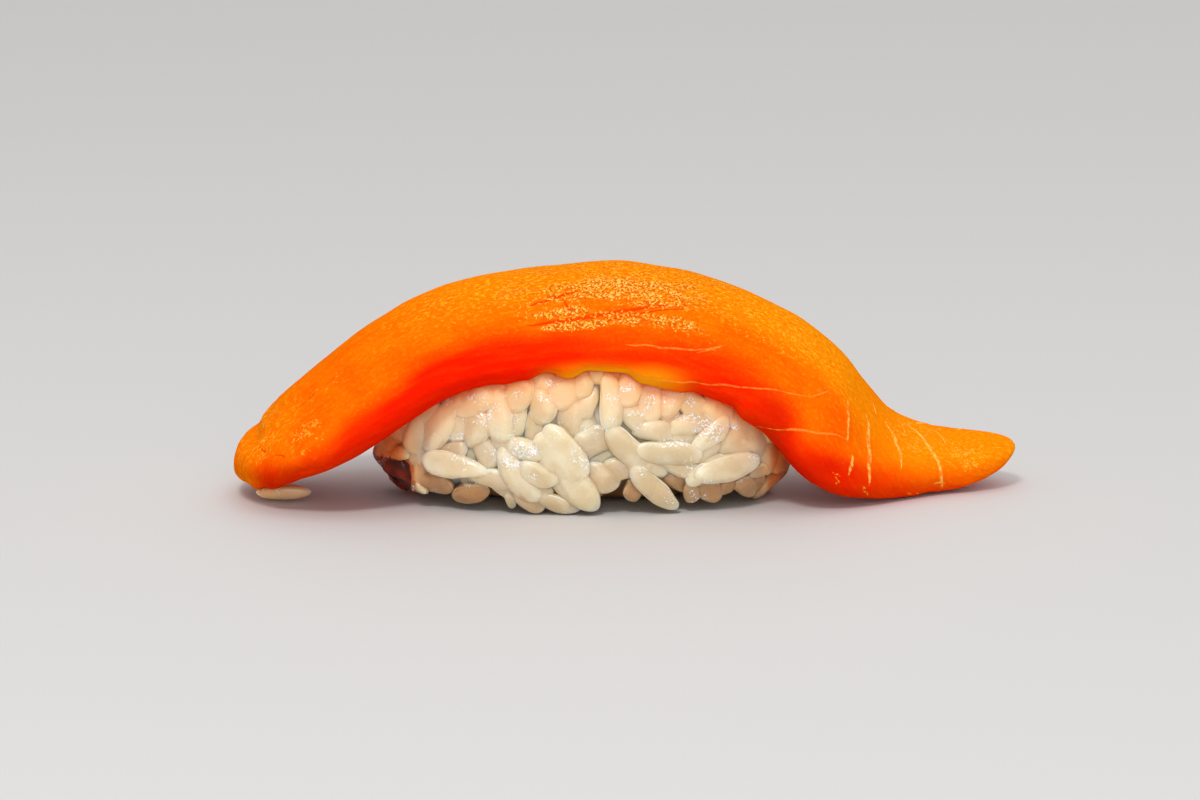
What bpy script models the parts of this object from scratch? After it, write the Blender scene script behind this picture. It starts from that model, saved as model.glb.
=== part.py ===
"""Salmon nigiri: a slice of raw salmon draped over a hand-pressed mound of sushi rice.

Run with: blender --background --python part.py

Units are metres, +Z is up and the origin is on the table under the middle of the piece.
X runs along the slice, from its blunt end at -X to its thin tail at +X. The front faces -Y.
The driving sizes below are in millimetres, because that is how a sushi cook thinks of them.
"""

import math

import bmesh
import bpy
import numpy as np
from mathutils import Vector
from mathutils.bvhtree import BVHTree

MM = 0.001

# Between the rice and the slice that lies on it, so that the two stay separate solids
TOUCH_GAP = 0.35

# The slice, cut from the fillet as a flat slab and then draped.
# SPINE is the line through the middle of its thickness, seen from the front: (x, z).
SPINE = (
    (-44.6, 2.0),
    (-40.2, 6.1),
    (-36.0, 9.9),
    (-29.0, 15.4),
    (-20.0, 20.8),
    (-10.0, 23.2),
    (0.0, 23.8),
    (9.5, 21.8),
    (18.0, 17.8),
    (24.5, 11.8),
    (29.5, 5.9),
    (35.5, 3.3),
    (40.5, 3.4),
    (45.3, 4.9),
)
# The rest is given as (share of the spine from the blunt end, size).
SLICE_THICKNESS = ((0.0, 5.4), (0.1, 6.6), (0.5, 6.1), (0.8, 6.0), (0.92, 4.6), (1.0, 2.6))
NEAR_HALF_WIDTH = (
    (0.0, 7.1),
    (0.07, 14.9),
    (0.15, 17.3),
    (0.25, 15.9),
    (0.35, 15.5),
    (0.5, 16.6),
    (0.6, 17.1),
    (0.68, 16.9),
    (0.76, 17.2),
    (0.82, 15.9),
    (0.88, 9.0),
    (1.0, 3.8),
)
FAR_HALF_WIDTH = ((0.0, 8.0), (0.2, 15.5), (0.5, 17.5), (0.75, 15.5), (0.88, 9.5), (1.0, 5.0))
SIDE_SHIFT = ((0.0, 1.0), (0.5, 0.0), (0.8, 3.0), (1.0, 5.0))
SIDE_ROLL_DEG = ((0.0, 0.0), (0.5, 0.0), (0.8, 6.0), (0.9, 12.0), (1.0, 10.0))
# How sharply the slice bends across, as 1 / radius: it is nearly flat at both ends.
BEND = (
    (0.0, 0.015),
    (0.15, 0.035),
    (0.35, 0.058),
    (0.6, 0.058),
    (0.8, 0.045),
    (0.92, 0.02),
    (1.0, 0.01),
)
EDGE_SQUARENESS = 2.9
END_ROUNDING = 5.0
SLICE_RINGS = 58
SLICE_SIDES = 30
END_CROWDING = 0.55

# The rice mound: an egg-like dome flattened on the table, pressed up against the slice.
RICE_CENTRE_X = -4.8
RICE_HALF_LENGTH = 24.0
RICE_HALF_WIDTH = 13.4
RICE_WAIST = 7.2
RICE_RISE = 14.2
RICE_DEPTH = 9.4
DOME_SQUARENESS = 3.2
PLAN_SQUARENESS = 2.3
RICE_COLUMNS = 100
RICE_ROWS = 26
# Above its foot the rice clears the table, and it feels for the slice this far around.
FOOT_CLEARANCE = 0.15
PROBE_REACH = 1.2

# The grains that show on the mound as lumps.
GRAIN_LENGTH = 7.0
GRAIN_WIDTH = 3.1
GRAIN_COUNT = 170
GRAIN_LUMP = 1.1
GRAIN_SEED = 11

SALMON_COLOUR = (0.93, 0.17, 0.006, 1.0)
RICE_COLOUR = (0.80, 0.62, 0.36, 1.0)


def clear_scene():
    for obj in list(bpy.data.objects):
        bpy.data.objects.remove(obj)


def spline(stations, at):
    """A natural cubic spline through (place, value) stations, read at the places given."""
    knots, values = np.array(stations, float).T
    span = np.diff(knots)
    rise = np.diff(values) / span
    matrix = np.eye(len(knots))
    change = np.zeros(len(knots))
    for i in range(1, len(knots) - 1):
        matrix[i, i - 1 : i + 2] = span[i - 1], 2 * (span[i - 1] + span[i]), span[i]
        change[i] = 6 * (rise[i] - rise[i - 1])
    bend = np.linalg.solve(matrix, change)
    i = np.clip(np.searchsorted(knots, at) - 1, 0, len(span) - 1)
    after, before = at - knots[i], knots[i + 1] - at
    h = span[i]
    curved = (bend[i] * before**3 + bend[i + 1] * after**3) / (6 * h)
    straight = (values[i] / h - bend[i] * h / 6) * before
    return curved + straight + (values[i + 1] / h - bend[i + 1] * h / 6) * after


def spine_points(shares):
    """The slice's spine at shares of its length: x, z and slope there, and its length."""
    corners = np.array(SPINE)
    chord = np.concatenate([[0], np.cumsum(np.linalg.norm(np.diff(corners, axis=0), axis=1))])
    length = chord[-1]
    chord /= length
    x = spline(np.column_stack([chord, corners[:, 0]]), shares)
    z = spline(np.column_stack([chord, corners[:, 1]]), shares)
    slope = np.arctan2(np.gradient(z, shares), np.gradient(x, shares))
    return x, z, slope, length


def squared(value, squareness):
    """A sine or cosine pushed outwards, so that a circle becomes a rounded rectangle."""
    return np.sign(value) * np.abs(value) ** (2 / squareness)


def slice_points():
    """The slice's rings of points, from the blunt end to the tail.

    Each ring starts as a rounded rectangle, its points b across and c up. It is bent over
    a cylinder of radius R: side = (R + c) sin(b / R), lift = (R + c) cos(b / R) - R. The
    ring is then rolled about the spine and set square to it. Both ends close as quarter
    ellipses.
    """
    # Rings crowd together at both ends, where the slice rounds off.
    even = np.linspace(0.0, 1.0, SLICE_RINGS)
    shares = (1 - END_CROWDING) * even + END_CROWDING * (1 - np.cos(np.pi * even)) / 2
    x, z, slope, length = spine_points(shares)
    to_end = np.minimum(shares, 1 - shares) * length
    closing = np.sqrt(1 - np.clip(1 - to_end / END_ROUNDING, 0, 1) ** 2)
    thickness = spline(SLICE_THICKNESS, shares) * closing
    near = spline(NEAR_HALF_WIDTH, shares) * closing
    far = spline(FAR_HALF_WIDTH, shares) * closing
    radius = 1 / spline(BEND, shares)[:, None]
    shift = spline(SIDE_SHIFT, shares)
    roll = np.radians(spline(SIDE_ROLL_DEG, shares))

    turn = np.linspace(0, 2 * np.pi, SLICE_SIDES, endpoint=False)
    cos, sin = squared(np.cos(turn), EDGE_SQUARENESS), squared(np.sin(turn), EDGE_SQUARENESS)
    angle = np.where(cos < 0, near[:, None], far[:, None]) * cos / radius
    reach = radius + thickness[:, None] / 2 * sin
    across, up = reach * np.sin(angle), reach * np.cos(angle) - radius
    side = across * np.cos(roll)[:, None] - up * np.sin(roll)[:, None]
    lift = across * np.sin(roll)[:, None] + up * np.cos(roll)[:, None]
    points = np.empty((len(shares), len(turn), 3))
    points[..., 0] = x[:, None] - np.sin(slope)[:, None] * lift
    points[..., 1] = shift[:, None] + side
    points[..., 2] = z[:, None] + np.cos(slope)[:, None] * lift
    return points


def closed_mesh(name, rings, caps):
    """A mesh skinned over rings of points, closed at both ends by fans or by flat faces."""
    sides = rings.shape[1]
    bm = bmesh.new()
    verts = [[bm.verts.new(p * MM) for p in ring] for ring in rings]
    for lower, upper in zip(verts, verts[1:]):
        for i in range(sides):
            j = (i + 1) % sides
            bm.faces.new((lower[i], lower[j], upper[j], upper[i]))
    for ring, end in zip((verts[0], verts[-1]), caps):
        if end is None:
            bm.faces.new(ring)
            continue
        pole = bm.verts.new(np.asarray(end) * MM)
        for i in range(sides):
            bm.faces.new((ring[i], ring[(i + 1) % sides], pole))
    bmesh.ops.recalc_face_normals(bm, faces=bm.faces)
    mesh = bpy.data.meshes.new(name)
    bm.to_mesh(mesh)
    bm.free()
    return mesh


def add_object(name, mesh, material, smooth_angle):
    mesh.materials.append(material)
    mesh.shade_smooth()
    mesh.set_sharp_from_angle(angle=math.radians(smooth_angle))
    obj = bpy.data.objects.new(name, mesh)
    bpy.context.scene.collection.objects.link(obj)
    return obj


def food_material(name, colour, roughness):
    material = bpy.data.materials.new(name)
    material.use_nodes = True
    shader = material.node_tree.nodes["Principled BSDF"]
    shader.inputs["Base Color"].default_value = colour
    shader.inputs["Roughness"].default_value = roughness
    shader.inputs["Metallic"].default_value = 0.0
    return material


def make_slice():
    rings = slice_points()
    # The first and last rings have shrunk to a point, so their centres are the poles.
    poles = rings[0].mean(axis=0), rings[-1].mean(axis=0)
    rings = rings[1:-1]
    # Flesh that reaches the table lies flat on it.
    rings[..., 2] = np.maximum(rings[..., 2], 0.0)
    mesh = closed_mesh("salmon_slice", rings, poles)
    return add_object("salmon_slice", mesh, food_material("salmon", SALMON_COLOUR, 0.28), 60)


def dome_points():
    """The smooth mound: rows of points from its foot up to its crown, and their outward way.

    A row is a squared circle of plan angles. Its reach and height follow a squared ellipse,
    RICE_RISE tall above the waist and RICE_DEPTH deep below it, cut off at the table.
    """
    lowest = -math.asin(min(1.0, (RICE_WAIST / RICE_DEPTH) ** (DOME_SQUARENESS / 2)))
    climb = np.linspace(lowest, np.pi / 2, RICE_ROWS)
    reach = squared(np.cos(climb), DOME_SQUARENESS)
    height = np.where(climb < 0, RICE_DEPTH, RICE_RISE) * squared(np.sin(climb), DOME_SQUARENESS)
    plan = np.linspace(0, 2 * np.pi, RICE_COLUMNS, endpoint=False)
    points = np.empty((RICE_ROWS, RICE_COLUMNS, 3))
    along = RICE_HALF_LENGTH * squared(np.cos(plan), PLAN_SQUARENESS)
    across = RICE_HALF_WIDTH * squared(np.sin(plan), PLAN_SQUARENESS)
    points[..., 0] = RICE_CENTRE_X + reach[:, None] * along
    points[..., 1] = reach[:, None] * across
    points[..., 2] = RICE_WAIST + height[:, None]
    points[0, :, 2] = 0.0
    return points


def outward(points):
    """Unit vectors pointing out of the mound at each point, from its neighbours."""
    around = np.roll(points, -1, axis=1) - np.roll(points, 1, axis=1)
    upward = np.gradient(points, axis=0)
    out = np.cross(around, upward)
    return out / np.maximum(np.linalg.norm(out, axis=2, keepdims=True), 1e-9)


def grain_lumps(points, out):
    """How far each point is raised by the nearest of the grains that lie on the mound.

    Grains lie at random places and angles on the surface. A point within half a grain's
    width of a grain's middle line rises as on the back of a round bar.
    """
    rng = np.random.default_rng(GRAIN_SEED)
    rows = rng.integers(2, RICE_ROWS - 2, GRAIN_COUNT)
    columns = rng.integers(0, RICE_COLUMNS, GRAIN_COUNT)
    middle, up = points[rows, columns], out[rows, columns]
    aim = rng.normal(size=(GRAIN_COUNT, 3))
    aim -= (aim * up).sum(axis=1, keepdims=True) * up
    aim /= np.linalg.norm(aim, axis=1, keepdims=True)
    half = (GRAIN_LENGTH - GRAIN_WIDTH) / 2
    offset = points[..., None, :] - middle
    along = np.clip((offset * aim).sum(axis=-1), -half, half)
    distance = np.linalg.norm(offset - along[..., None] * aim, axis=-1).min(axis=-1)
    return GRAIN_LUMP * np.sqrt(np.clip(1 - (2 * distance / GRAIN_WIDTH) ** 2, 0, 1))


def height_under(slice_obj):
    """A function that gives the slice's lowest height near (x, y), or None beside it."""
    tree = BVHTree.FromObject(slice_obj, bpy.context.evaluated_depsgraph_get())
    steps = (-PROBE_REACH, 0.0, PROBE_REACH)

    def lowest(x, y):
        found = []
        for dx in steps:
            for dy in steps:
                start = Vector(((x + dx) * MM, (y + dy) * MM, -MM))
                hit = tree.ray_cast(start, Vector((0, 0, 1)))[0]
                if hit is not None:
                    found.append(hit.z / MM)
        return min(found) if found else None

    return lowest


def make_rice(slice_obj):
    points = dome_points()
    out = outward(points)
    lumps = grain_lumps(points, out)
    lumps[0] = 0.0
    points += (lumps - GRAIN_LUMP / 2)[..., None] * out
    points[0, :, 2] = 0.0
    points[1:, :, 2] = np.maximum(points[1:, :, 2], FOOT_CLEARANCE)
    # Pressing: the mound fills the underside of the slice, less the gap between two solids.
    ceiling = height_under(slice_obj)
    for point in points[1:].reshape(-1, 3):
        limit = ceiling(point[0], point[1])
        if limit is not None:
            point[2] = min(point[2], limit - TOUCH_GAP)
    crown = points[-1].mean(axis=0)
    mesh = closed_mesh("rice", points[:-1], (None, crown))
    return add_object("rice", mesh, food_material("rice", RICE_COLOUR, 0.35), 50)


def centre_on_origin(objects):
    """Moves the meshes so that the whole stands on z = 0, centred on the origin."""
    corners = np.array([v.co for obj in objects for v in obj.data.vertices])
    low, high = corners.min(axis=0), corners.max(axis=0)
    shift = Vector((-(low[0] + high[0]) / 2, -(low[1] + high[1]) / 2, -low[2]))
    for obj in objects:
        for vert in obj.data.vertices:
            vert.co += shift


def main():
    clear_scene()
    salmon = make_slice()
    rice = make_rice(salmon)
    centre_on_origin((salmon, rice))


main()
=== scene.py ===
"""The looks of a salmon nigiri: raw salmon draped over a hand-pressed mound of sushi rice.

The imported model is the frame. This script dresses it with a finely modelled slice, some
hundreds of separate rice grains over a core, their materials, a pale table, lights and a
camera. Sizes are in millimetres. X runs along the slice, from its blunt end at -X to its
thin tail at +X, +Z is up, and the front faces -Y.
"""

import math
from itertools import product

import bpy
import numpy as np
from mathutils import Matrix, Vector


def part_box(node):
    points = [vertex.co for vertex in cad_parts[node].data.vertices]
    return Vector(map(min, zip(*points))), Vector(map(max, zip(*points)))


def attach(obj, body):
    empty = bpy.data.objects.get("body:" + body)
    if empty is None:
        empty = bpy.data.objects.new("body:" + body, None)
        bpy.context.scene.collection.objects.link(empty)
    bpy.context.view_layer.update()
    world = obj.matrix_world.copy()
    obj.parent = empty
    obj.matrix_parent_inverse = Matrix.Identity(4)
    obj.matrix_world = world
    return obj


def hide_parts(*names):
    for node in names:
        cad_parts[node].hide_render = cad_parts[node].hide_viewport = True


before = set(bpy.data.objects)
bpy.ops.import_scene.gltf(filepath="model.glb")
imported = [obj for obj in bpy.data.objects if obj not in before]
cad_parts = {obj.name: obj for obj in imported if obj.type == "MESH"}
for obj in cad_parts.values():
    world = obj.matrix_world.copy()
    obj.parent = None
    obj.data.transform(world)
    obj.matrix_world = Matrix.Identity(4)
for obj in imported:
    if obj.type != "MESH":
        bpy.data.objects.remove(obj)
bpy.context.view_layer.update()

MM = 0.001

# ------------------------------------------------------------------ the slice's driving sizes
# They are the CAD slice's own, so that the fine slice lies where the solid is.
# SPINE is the line through the middle of its thickness, seen from the front: (x, z).
SPINE = (
    (-44.6, 2), (-40.2, 6.1), (-36, 9.9), (-29, 15.4), (-20, 20.8), (-10, 23.2), (0, 23.8),
    (9.5, 21.8), (18, 17.8), (24.5, 11.8), (29.5, 5.9), (35.5, 3.3), (40.5, 3.4), (45.3, 4.9),
)
# The rest is given as (share of the spine from the blunt end, size).
SLICE_THICKNESS = ((0, 5.4), (0.1, 6.6), (0.5, 6.1), (0.8, 6), (0.92, 4.6), (1, 2.6))
NEAR_HALF_WIDTH = (
    (0, 7.1), (0.07, 14.9), (0.15, 17.3), (0.25, 15.9), (0.35, 15.5), (0.5, 16.6), (0.6, 17.1),
    (0.68, 16.9), (0.76, 17.2), (0.82, 15.9), (0.88, 9), (1, 3.8),
)
FAR_HALF_WIDTH = ((0, 8), (0.2, 15.5), (0.5, 17.5), (0.75, 15.5), (0.88, 9.5), (1, 5))
SIDE_SHIFT = ((0, 1), (0.5, 0), (0.8, 3), (1, 5))
SIDE_ROLL_DEG = ((0, 0), (0.5, 0), (0.8, 6), (0.9, 12), (1, 10))
# How sharply the slice bends across, as 1 / radius.
BEND = (
    (0, 0.015), (0.15, 0.035), (0.35, 0.058), (0.6, 0.058), (0.8, 0.045), (0.92, 0.02),
    (1, 0.01),
)
EDGE_SQUARENESS = 2.9
END_ROUNDING = 5.0
END_CROWDING = 0.55
SLICE_RINGS = 430
SLICE_SIDES = 216
USUAL_WIDTH = 34.0
USUAL_THICKNESS = 6.0

# ------------------------------------------------------------------ marks on the slice
# Each line on its skin runs between two places, each (share of the length, millimetres
# round from the crown), and bows sideways by some millimetres: (from, to, bow, half width).
# Negative is towards the front. The cut face of the near side lies at about -17 to -21.
GROOVES = (
    ((0.388, -10.6), (0.447, -8.6), 0.1, 0.30), ((0.386, -13.2), (0.560, -9.4), -1.1, 0.46),
    ((0.468, -13.7), (0.566, -10.2), 0, 0.20), ((0.428, -9.6), (0.437, -12.6), 0, 0.16),
    ((0.056, -9.6), (0.064, -12.4), -0.2, 0.16), ((0.070, -13.8), (0.078, -15.6), 0.2, 0.14),
    ((0.068, -17.3), (0.104, -20), 0, 0.34), ((0.118, -8.9), (0.140, -8.7), 0.1, 0.13),
    ((0.150, -8.4), (0.172, -8.5), -0.1, 0.12),
)
# Steps in the flesh, each with a painted highlight along it.
LEDGES = (
    ((0.498, -16.5), (0.606, -15), -0.4, 0.17), ((0.584, -15.9), (0.613, -13.9), -0.2, 0.16),
    ((0.476, -19.5), (0.737, -13.2), -2.7, 0.16), ((0.731, -13.8), (0.744, -10.6), -0.1, 0.15),
    ((0.698, -21), (0.797, -12.9), -0.6, 0.20),
)
FAT_LINES = (
    ((0.799, -13.4), (0.766, -8.9), 0, 0.26), ((0.793, -2.2), (0.809, -4), 0, 0.16),
    ((0.795, -6.6), (0.844, -14.3), 0.1, 0.42), ((0.812, -13.5), (0.823, -15.7), 0, 0.28),
    ((0.823, -3.2), (0.865, -9), 0.9, 0.40), ((0.861, 2), (0.915, -8.5), 1, 0.38),
    ((0.842, 0.6), (0.862, -3), 0.3, 0.14), ((0.898, 3.2), (0.918, -1), 0.4, 0.14),
)
# The far side carries the same lines: moved this share along and drawn this much in.
FAR_MOVE = 0.035
FAR_DRAW_IN = 0.93
FAR_FROM = 4.5
# How much wider the lines are in relief than in colour.
LINE_MARGIN = 0.22
# Patches of flecks, painted highlights of the wet skin: (share, round from the crown,
# share's reach, reach round, how many).
FLECK_PATCHES = (
    (0.440, -8.6, 0.040, 2.4, 0.75), (0.500, -8.4, 0.075, 3, 1.00),
    (0.555, -7.6, 0.030, 3, 0.80), (0.425, -11.8, 0.040, 1, 0.90),
    (0.520, -12.9, 0.075, 1.3, 0.80), (0.440, -13.8, 0.042, 0.8, 1.00),
    (0.572, -14.2, 0.030, 1.2, 0.55), (0.385, -8.5, 0.034, 4, 0.50), (0.340, -7, 0.060, 6, 0.34),
    (0.500, -1, 0.150, 5.5, 0.54), (0.860, -1, 0.050, 5, 0.45), (0.640, -6, 0.090, 6, 0.38),
    (0.072, -3, 0.022, 3.5, 0.60), (0.060, -10, 0.022, 3, 0.55), (0.108, -15, 0.028, 2.6, 0.55),
    (0.150, -9, 0.030, 3, 0.35), (0.880, 3.5, 0.040, 2.5, 0.50), (0.943, -2.4, 0.022, 3.2, 0.60),
    (0.905, -3, 0.030, 3, 0.35), (0.815, -17.3, 0.008, 0.8, 0.45),
    (0.846, -15.2, 0.010, 0.6, 0.50), (0.888, -10.7, 0.009, 0.7, 0.60),
    (0.911, -8, 0.008, 0.8, 0.70),
)
# Where the flesh turns from orange to deep red, round from the crown, and how red it gets:
# the flesh's own red, deepened by painted shade where the sides face down.
RED_START = (
    (0, 7), (0.05, 11.5), (0.1, 15.8), (0.15, 15.8), (0.2, 15.3), (0.25, 13.4), (0.32, 12.2),
    (0.42, 12.6), (0.5, 13), (0.6, 12), (0.7, 14.1), (0.78, 15.5), (0.82, 11.6), (0.89, 4.8),
    (0.94, 3.2), (1, 2.2),
)
RED_DEPTH = (
    (0, 0.7), (0.1, 0.8), (0.2, 1), (0.32, 1), (0.42, 0.92), (0.5, 0.80), (0.6, 0.88),
    (0.68, 0.9), (0.75, 0.9), (0.8, 0.95), (0.86, 0.75), (0.92, 0.7), (1, 0.7),
)
# Over how many millimetres it turns.
RED_FADE = ((0, 4.5), (0.5, 5), (0.7, 5), (0.78, 3.4), (0.86, 6.5), (0.93, 5.5), (1, 4.5))
# How dark the red gets along the very edge: painted shade.
UNDER_SHADE_DEPTH = (
    (0, 0.5), (0.15, 0.45), (0.25, 0.2), (0.5, 0), (0.66, 0.15), (0.76, 0.75), (0.82, 0.4),
    (0.87, 0.08), (1, 0),
)

# ------------------------------------------------------------------ the rice's driving sizes
# The CAD mound's own.
RICE_CENTRE_X = -4.8
RICE_HALF_LENGTH = 24.0
RICE_HALF_WIDTH = 13.4
RICE_WAIST = 7.2
RICE_RISE = 14.2
RICE_DEPTH = 9.4
DOME_SQUARENESS = 3.2
PLAN_SQUARENESS = 2.3

GRAIN_LENGTH = 6.6
GRAIN_WIDTH = 2.9
OUTER_COUNT = 110
INNER_COUNT = 150
OUTER_INSET = 0.7
INNER_INSET = 1.45
CORE_INSET = 0.55
CORE_UNDERCUT = 8.5
CORE_FLOOR = 0.3
GRAIN_SEED = 23
GRAIN_SQUARENESS = 2.3
FRONT_BREADTH = 1.14
# How far the front grains may sink into the soft slice, and how high grains keep off the table.
SUNK = 0.8
ABOVE_TABLE = 0.02
PLACES_TRIED = 6000
LOWEST_PLACE = 1.0
HIGHEST_PLACE = 19.0
NEIGHBOUR_REACH = 8.0
SKIN_UNEVENNESS = 0.16
CREASE_DEG = 38
# Each batch of grains has so many rings, so many sides and a seed of its own.
FRONT_MESH = (20, 18, 5)
OTHER_MESH = (9, 9, 6)
STRAY_MESH = (20, 20, 77)
CORE_ROWS = 64
CORE_COLUMNS = 200
# Where neighbours pressed a grain flat, as shares of its reach, and how the presses lean.
PRESSES = ((0.68, 0.82), (0.8, 0.95), (0.86, 1.0), (0.86, 1.0))
PRESS_LEAN = 0.16

# Grains that face the front, one by one: x, height as seen by the camera, lean in degrees
# (positive rises to the right), length, width, how far it stands out of the mound, and how
# brown it is, which at the foot and in recesses is painted shade.
FRONT_GRAINS = (
    # left shoulder, under the slice
    (-26.6, 6.2, 35, 5.6, 3, -0.3, 0), (-23.6, 7, 68, 5.6, 2.6, 0.4, 0),
    (-21.3, 7.6, 58, 6.8, 3.2, 0.5, 0), (-18.7, 8.6, 62, 6, 3, 0.2, 0),
    (-17.2, 7.7, 80, 5, 3.2, 0.6, 0), (-17.2, 10.7, 30, 5.6, 3, 0.8, 0),
    (-20.2, 9.6, 50, 4.4, 2.4, 0.4, 0), (-18.6, 11.9, 34, 4.2, 2.2, 0.5, 0),
    (-22.6, 9.4, 44, 3.6, 2, 0.3, 0), (-25.8, 4.3, 12, 3, 1.5, 0.2, 0),
    # left end, dark with juice and painted shade
    (-26.3, 3.3, -30, 5.6, 3, -0.3, 0), (-25, 2.2, -50, 4, 2.6, -0.8, 0),
    # left foot
    (-19.6, 3.3, -11, 8, 2.7, 1, 0.1), (-15.4, 1.5, -10, 5, 1.9, 0.6, 0.25),
    (-21.9, 1.2, -6, 5.2, 2.5, -0.1, 0.86), (-23.2, 2.6, 75, 3.6, 2, -0.1, 0.8),
    (-23.4, 0.7, -38, 1.8, 0.9, 0.3, 0), (-17.7, 0.1, 12, 5, 2.2, 0.2, 0.87),
    (-13.3, -0.7, -68, 2.4, 1.2, 0.4, 0.3), (-20, 5.2, 8, 4.4, 2.2, 0, 0.35),
    # left middle
    (-14.2, 9.2, 97, 7, 2.9, 0.8, 0), (-12.3, 12, 80, 4.6, 3.2, 0.8, 0),
    (-14.6, 11.8, 50, 3.8, 2.6, 0.5, 0), (-9.7, 10.2, 92, 4.6, 3, 0.6, 0),
    (-9.6, 12.5, 30, 4.2, 2.6, 0.5, 0), (-12.2, 8.6, 75, 4.2, 2.2, 0.1, 0.15),
    (-10.2, 7.8, 88, 5, 2.8, 0, 0.1), (-13.8, 5.6, -65, 5.4, 2.6, 0.4, 0.15),
    (-16.2, 4.9, -60, 4.6, 2.6, 0, 0.2), (-12, 2.3, -50, 7.6, 3, 1.1, 0),
    (-11.3, 4.9, -14, 4.8, 2.3, 1.1, 0), (-9.8, 2.6, -20, 4.8, 2.3, 1.4, 0),
    (-10.2, 0.6, -24, 4, 2, 0.9, 0.15), (-11, -0.8, -32, 4, 1.9, 0.9, 0.4),
    (-13.8, 1, -44, 4.2, 2, 0.3, 0.3),
    # middle
    (-6.9, 4.7, -58, 7.8, 3.6, 1.4, 0), (-8.6, 4.6, -70, 5.6, 3.2, 1.3, 0),
    (-5.3, 1, -54, 7.2, 3.1, 1.3, 0), (-7.7, -1.2, -18, 5.6, 2, 1.2, 0.15),
    (-6.6, 0.4, -40, 4.4, 2.4, 0.8, 0.1), (-6.4, 9, 88, 5.4, 2.8, 0.1, 0.15),
    (-6.9, 12.2, 85, 4.8, 3.4, 0.8, 0), (-4.6, 10.5, 62, 4.4, 2.2, 0.2, 0),
    (-4.9, 12.8, 70, 3.8, 2.4, 0.6, 0), (-6.2, 13.7, 6, 4.4, 2.2, 0.6, 0),
    (-2.4, 13.9, -8, 4.4, 2.2, 0.6, 0), (-9.8, 13.4, 12, 4.2, 2.2, 0.6, 0),
    (-13.4, 13, 24, 4, 2.2, 0.5, 0), (-1.9, 10.6, 93, 6.8, 2.8, 0.8, 0),
    (-3.7, 5.7, 24, 5.6, 3.4, 0.2, 0.25), (-2.6, 2.2, -35, 4.6, 2.8, 0.3, 0.35),
    (-0.7, 2.6, 10, 4.4, 2.4, 0.2, 0.4),
    # right middle
    (0.5, 5.1, -48, 7.2, 2.7, 0.8, 0), (2.2, 3.1, -14, 5.6, 2.2, 0.3, 0.25),
    (4.9, 4.8, -3, 8.4, 2.6, 1.2, 0), (3.2, 7.1, -4, 5, 2.4, 0.4, 0.1),
    (0.9, 9, -42, 4.4, 2.4, 0.4, 0), (0.3, 12, 75, 4.6, 3, 0.8, 0),
    (1.5, 13.5, -12, 4.2, 2.3, 0.6, 0), (3, 10.8, 84, 5.4, 2.8, 0.6, 0),
    (5.4, 11.4, 60, 4.8, 2.8, 0.7, 0), (4.9, 9, 80, 4.2, 2.4, 0, 0.15),
    (7.6, 10.7, -40, 4.6, 2.6, 0.6, 0), (7.6, 8.1, 18, 6, 2.7, 0.5, 0),
    (9.7, 7, 43, 5.8, 2.2, 1, 0), (10.6, 9.5, -32, 5.2, 2.8, 0.5, 0),
    (9.2, 4.9, 30, 4.4, 2.2, 0.5, 0.1), (6.5, 3.5, -24, 4.8, 2.4, 0.6, 0.1),
    (7.2, 6.5, 8, 5, 2.2, 0.2, 0), (9.6, 3.6, 20, 4.2, 2.2, 0.4, 0.1),
    # right shoulder
    (11.6, 3.1, 13, 8.4, 2.8, 1.2, 0), (8.6, 2.2, 30, 3.6, 2, 0.9, 0.05),
    (12.2, 6, -10, 5.6, 3.2, 0.4, 0.05), (14.4, 6.2, -50, 5.4, 3.2, 0.3, 0),
    (13.4, 8, -36, 5.6, 2.8, 0.4, 0), (16, 4.4, -80, 4.8, 2.4, 0, 0),
    (17.3, 4, -70, 4, 2.8, 0, 0), (15.4, 2.5, 22, 2.8, 1.4, 0.3, 0.6),
    # right foot
    (6.4, 1.4, -22, 5, 2.2, -0.5, 0.8), (3.4, 0.9, -40, 7.8, 2.3, 0.8, 0.25),
    (1.1, 0.5, 65, 3.2, 2, -0.2, 0.8), (-3.1, 0.1, 50, 2.4, 1.6, -0.4, 0.9),
    (7.6, 0.2, 100, 3, 1.7, 0.3, 0.75), (9.7, 0.4, -22, 3.6, 2.3, 0.2, 0.8),
    (11.6, 0.9, 20, 2.4, 1.6, 0, 0.87), (13.6, 0.7, -40, 3.8, 2.2, 0.2, 0.8),
    (14.8, 1.3, 70, 3, 2, -0.3, 0.87),
)
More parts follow.
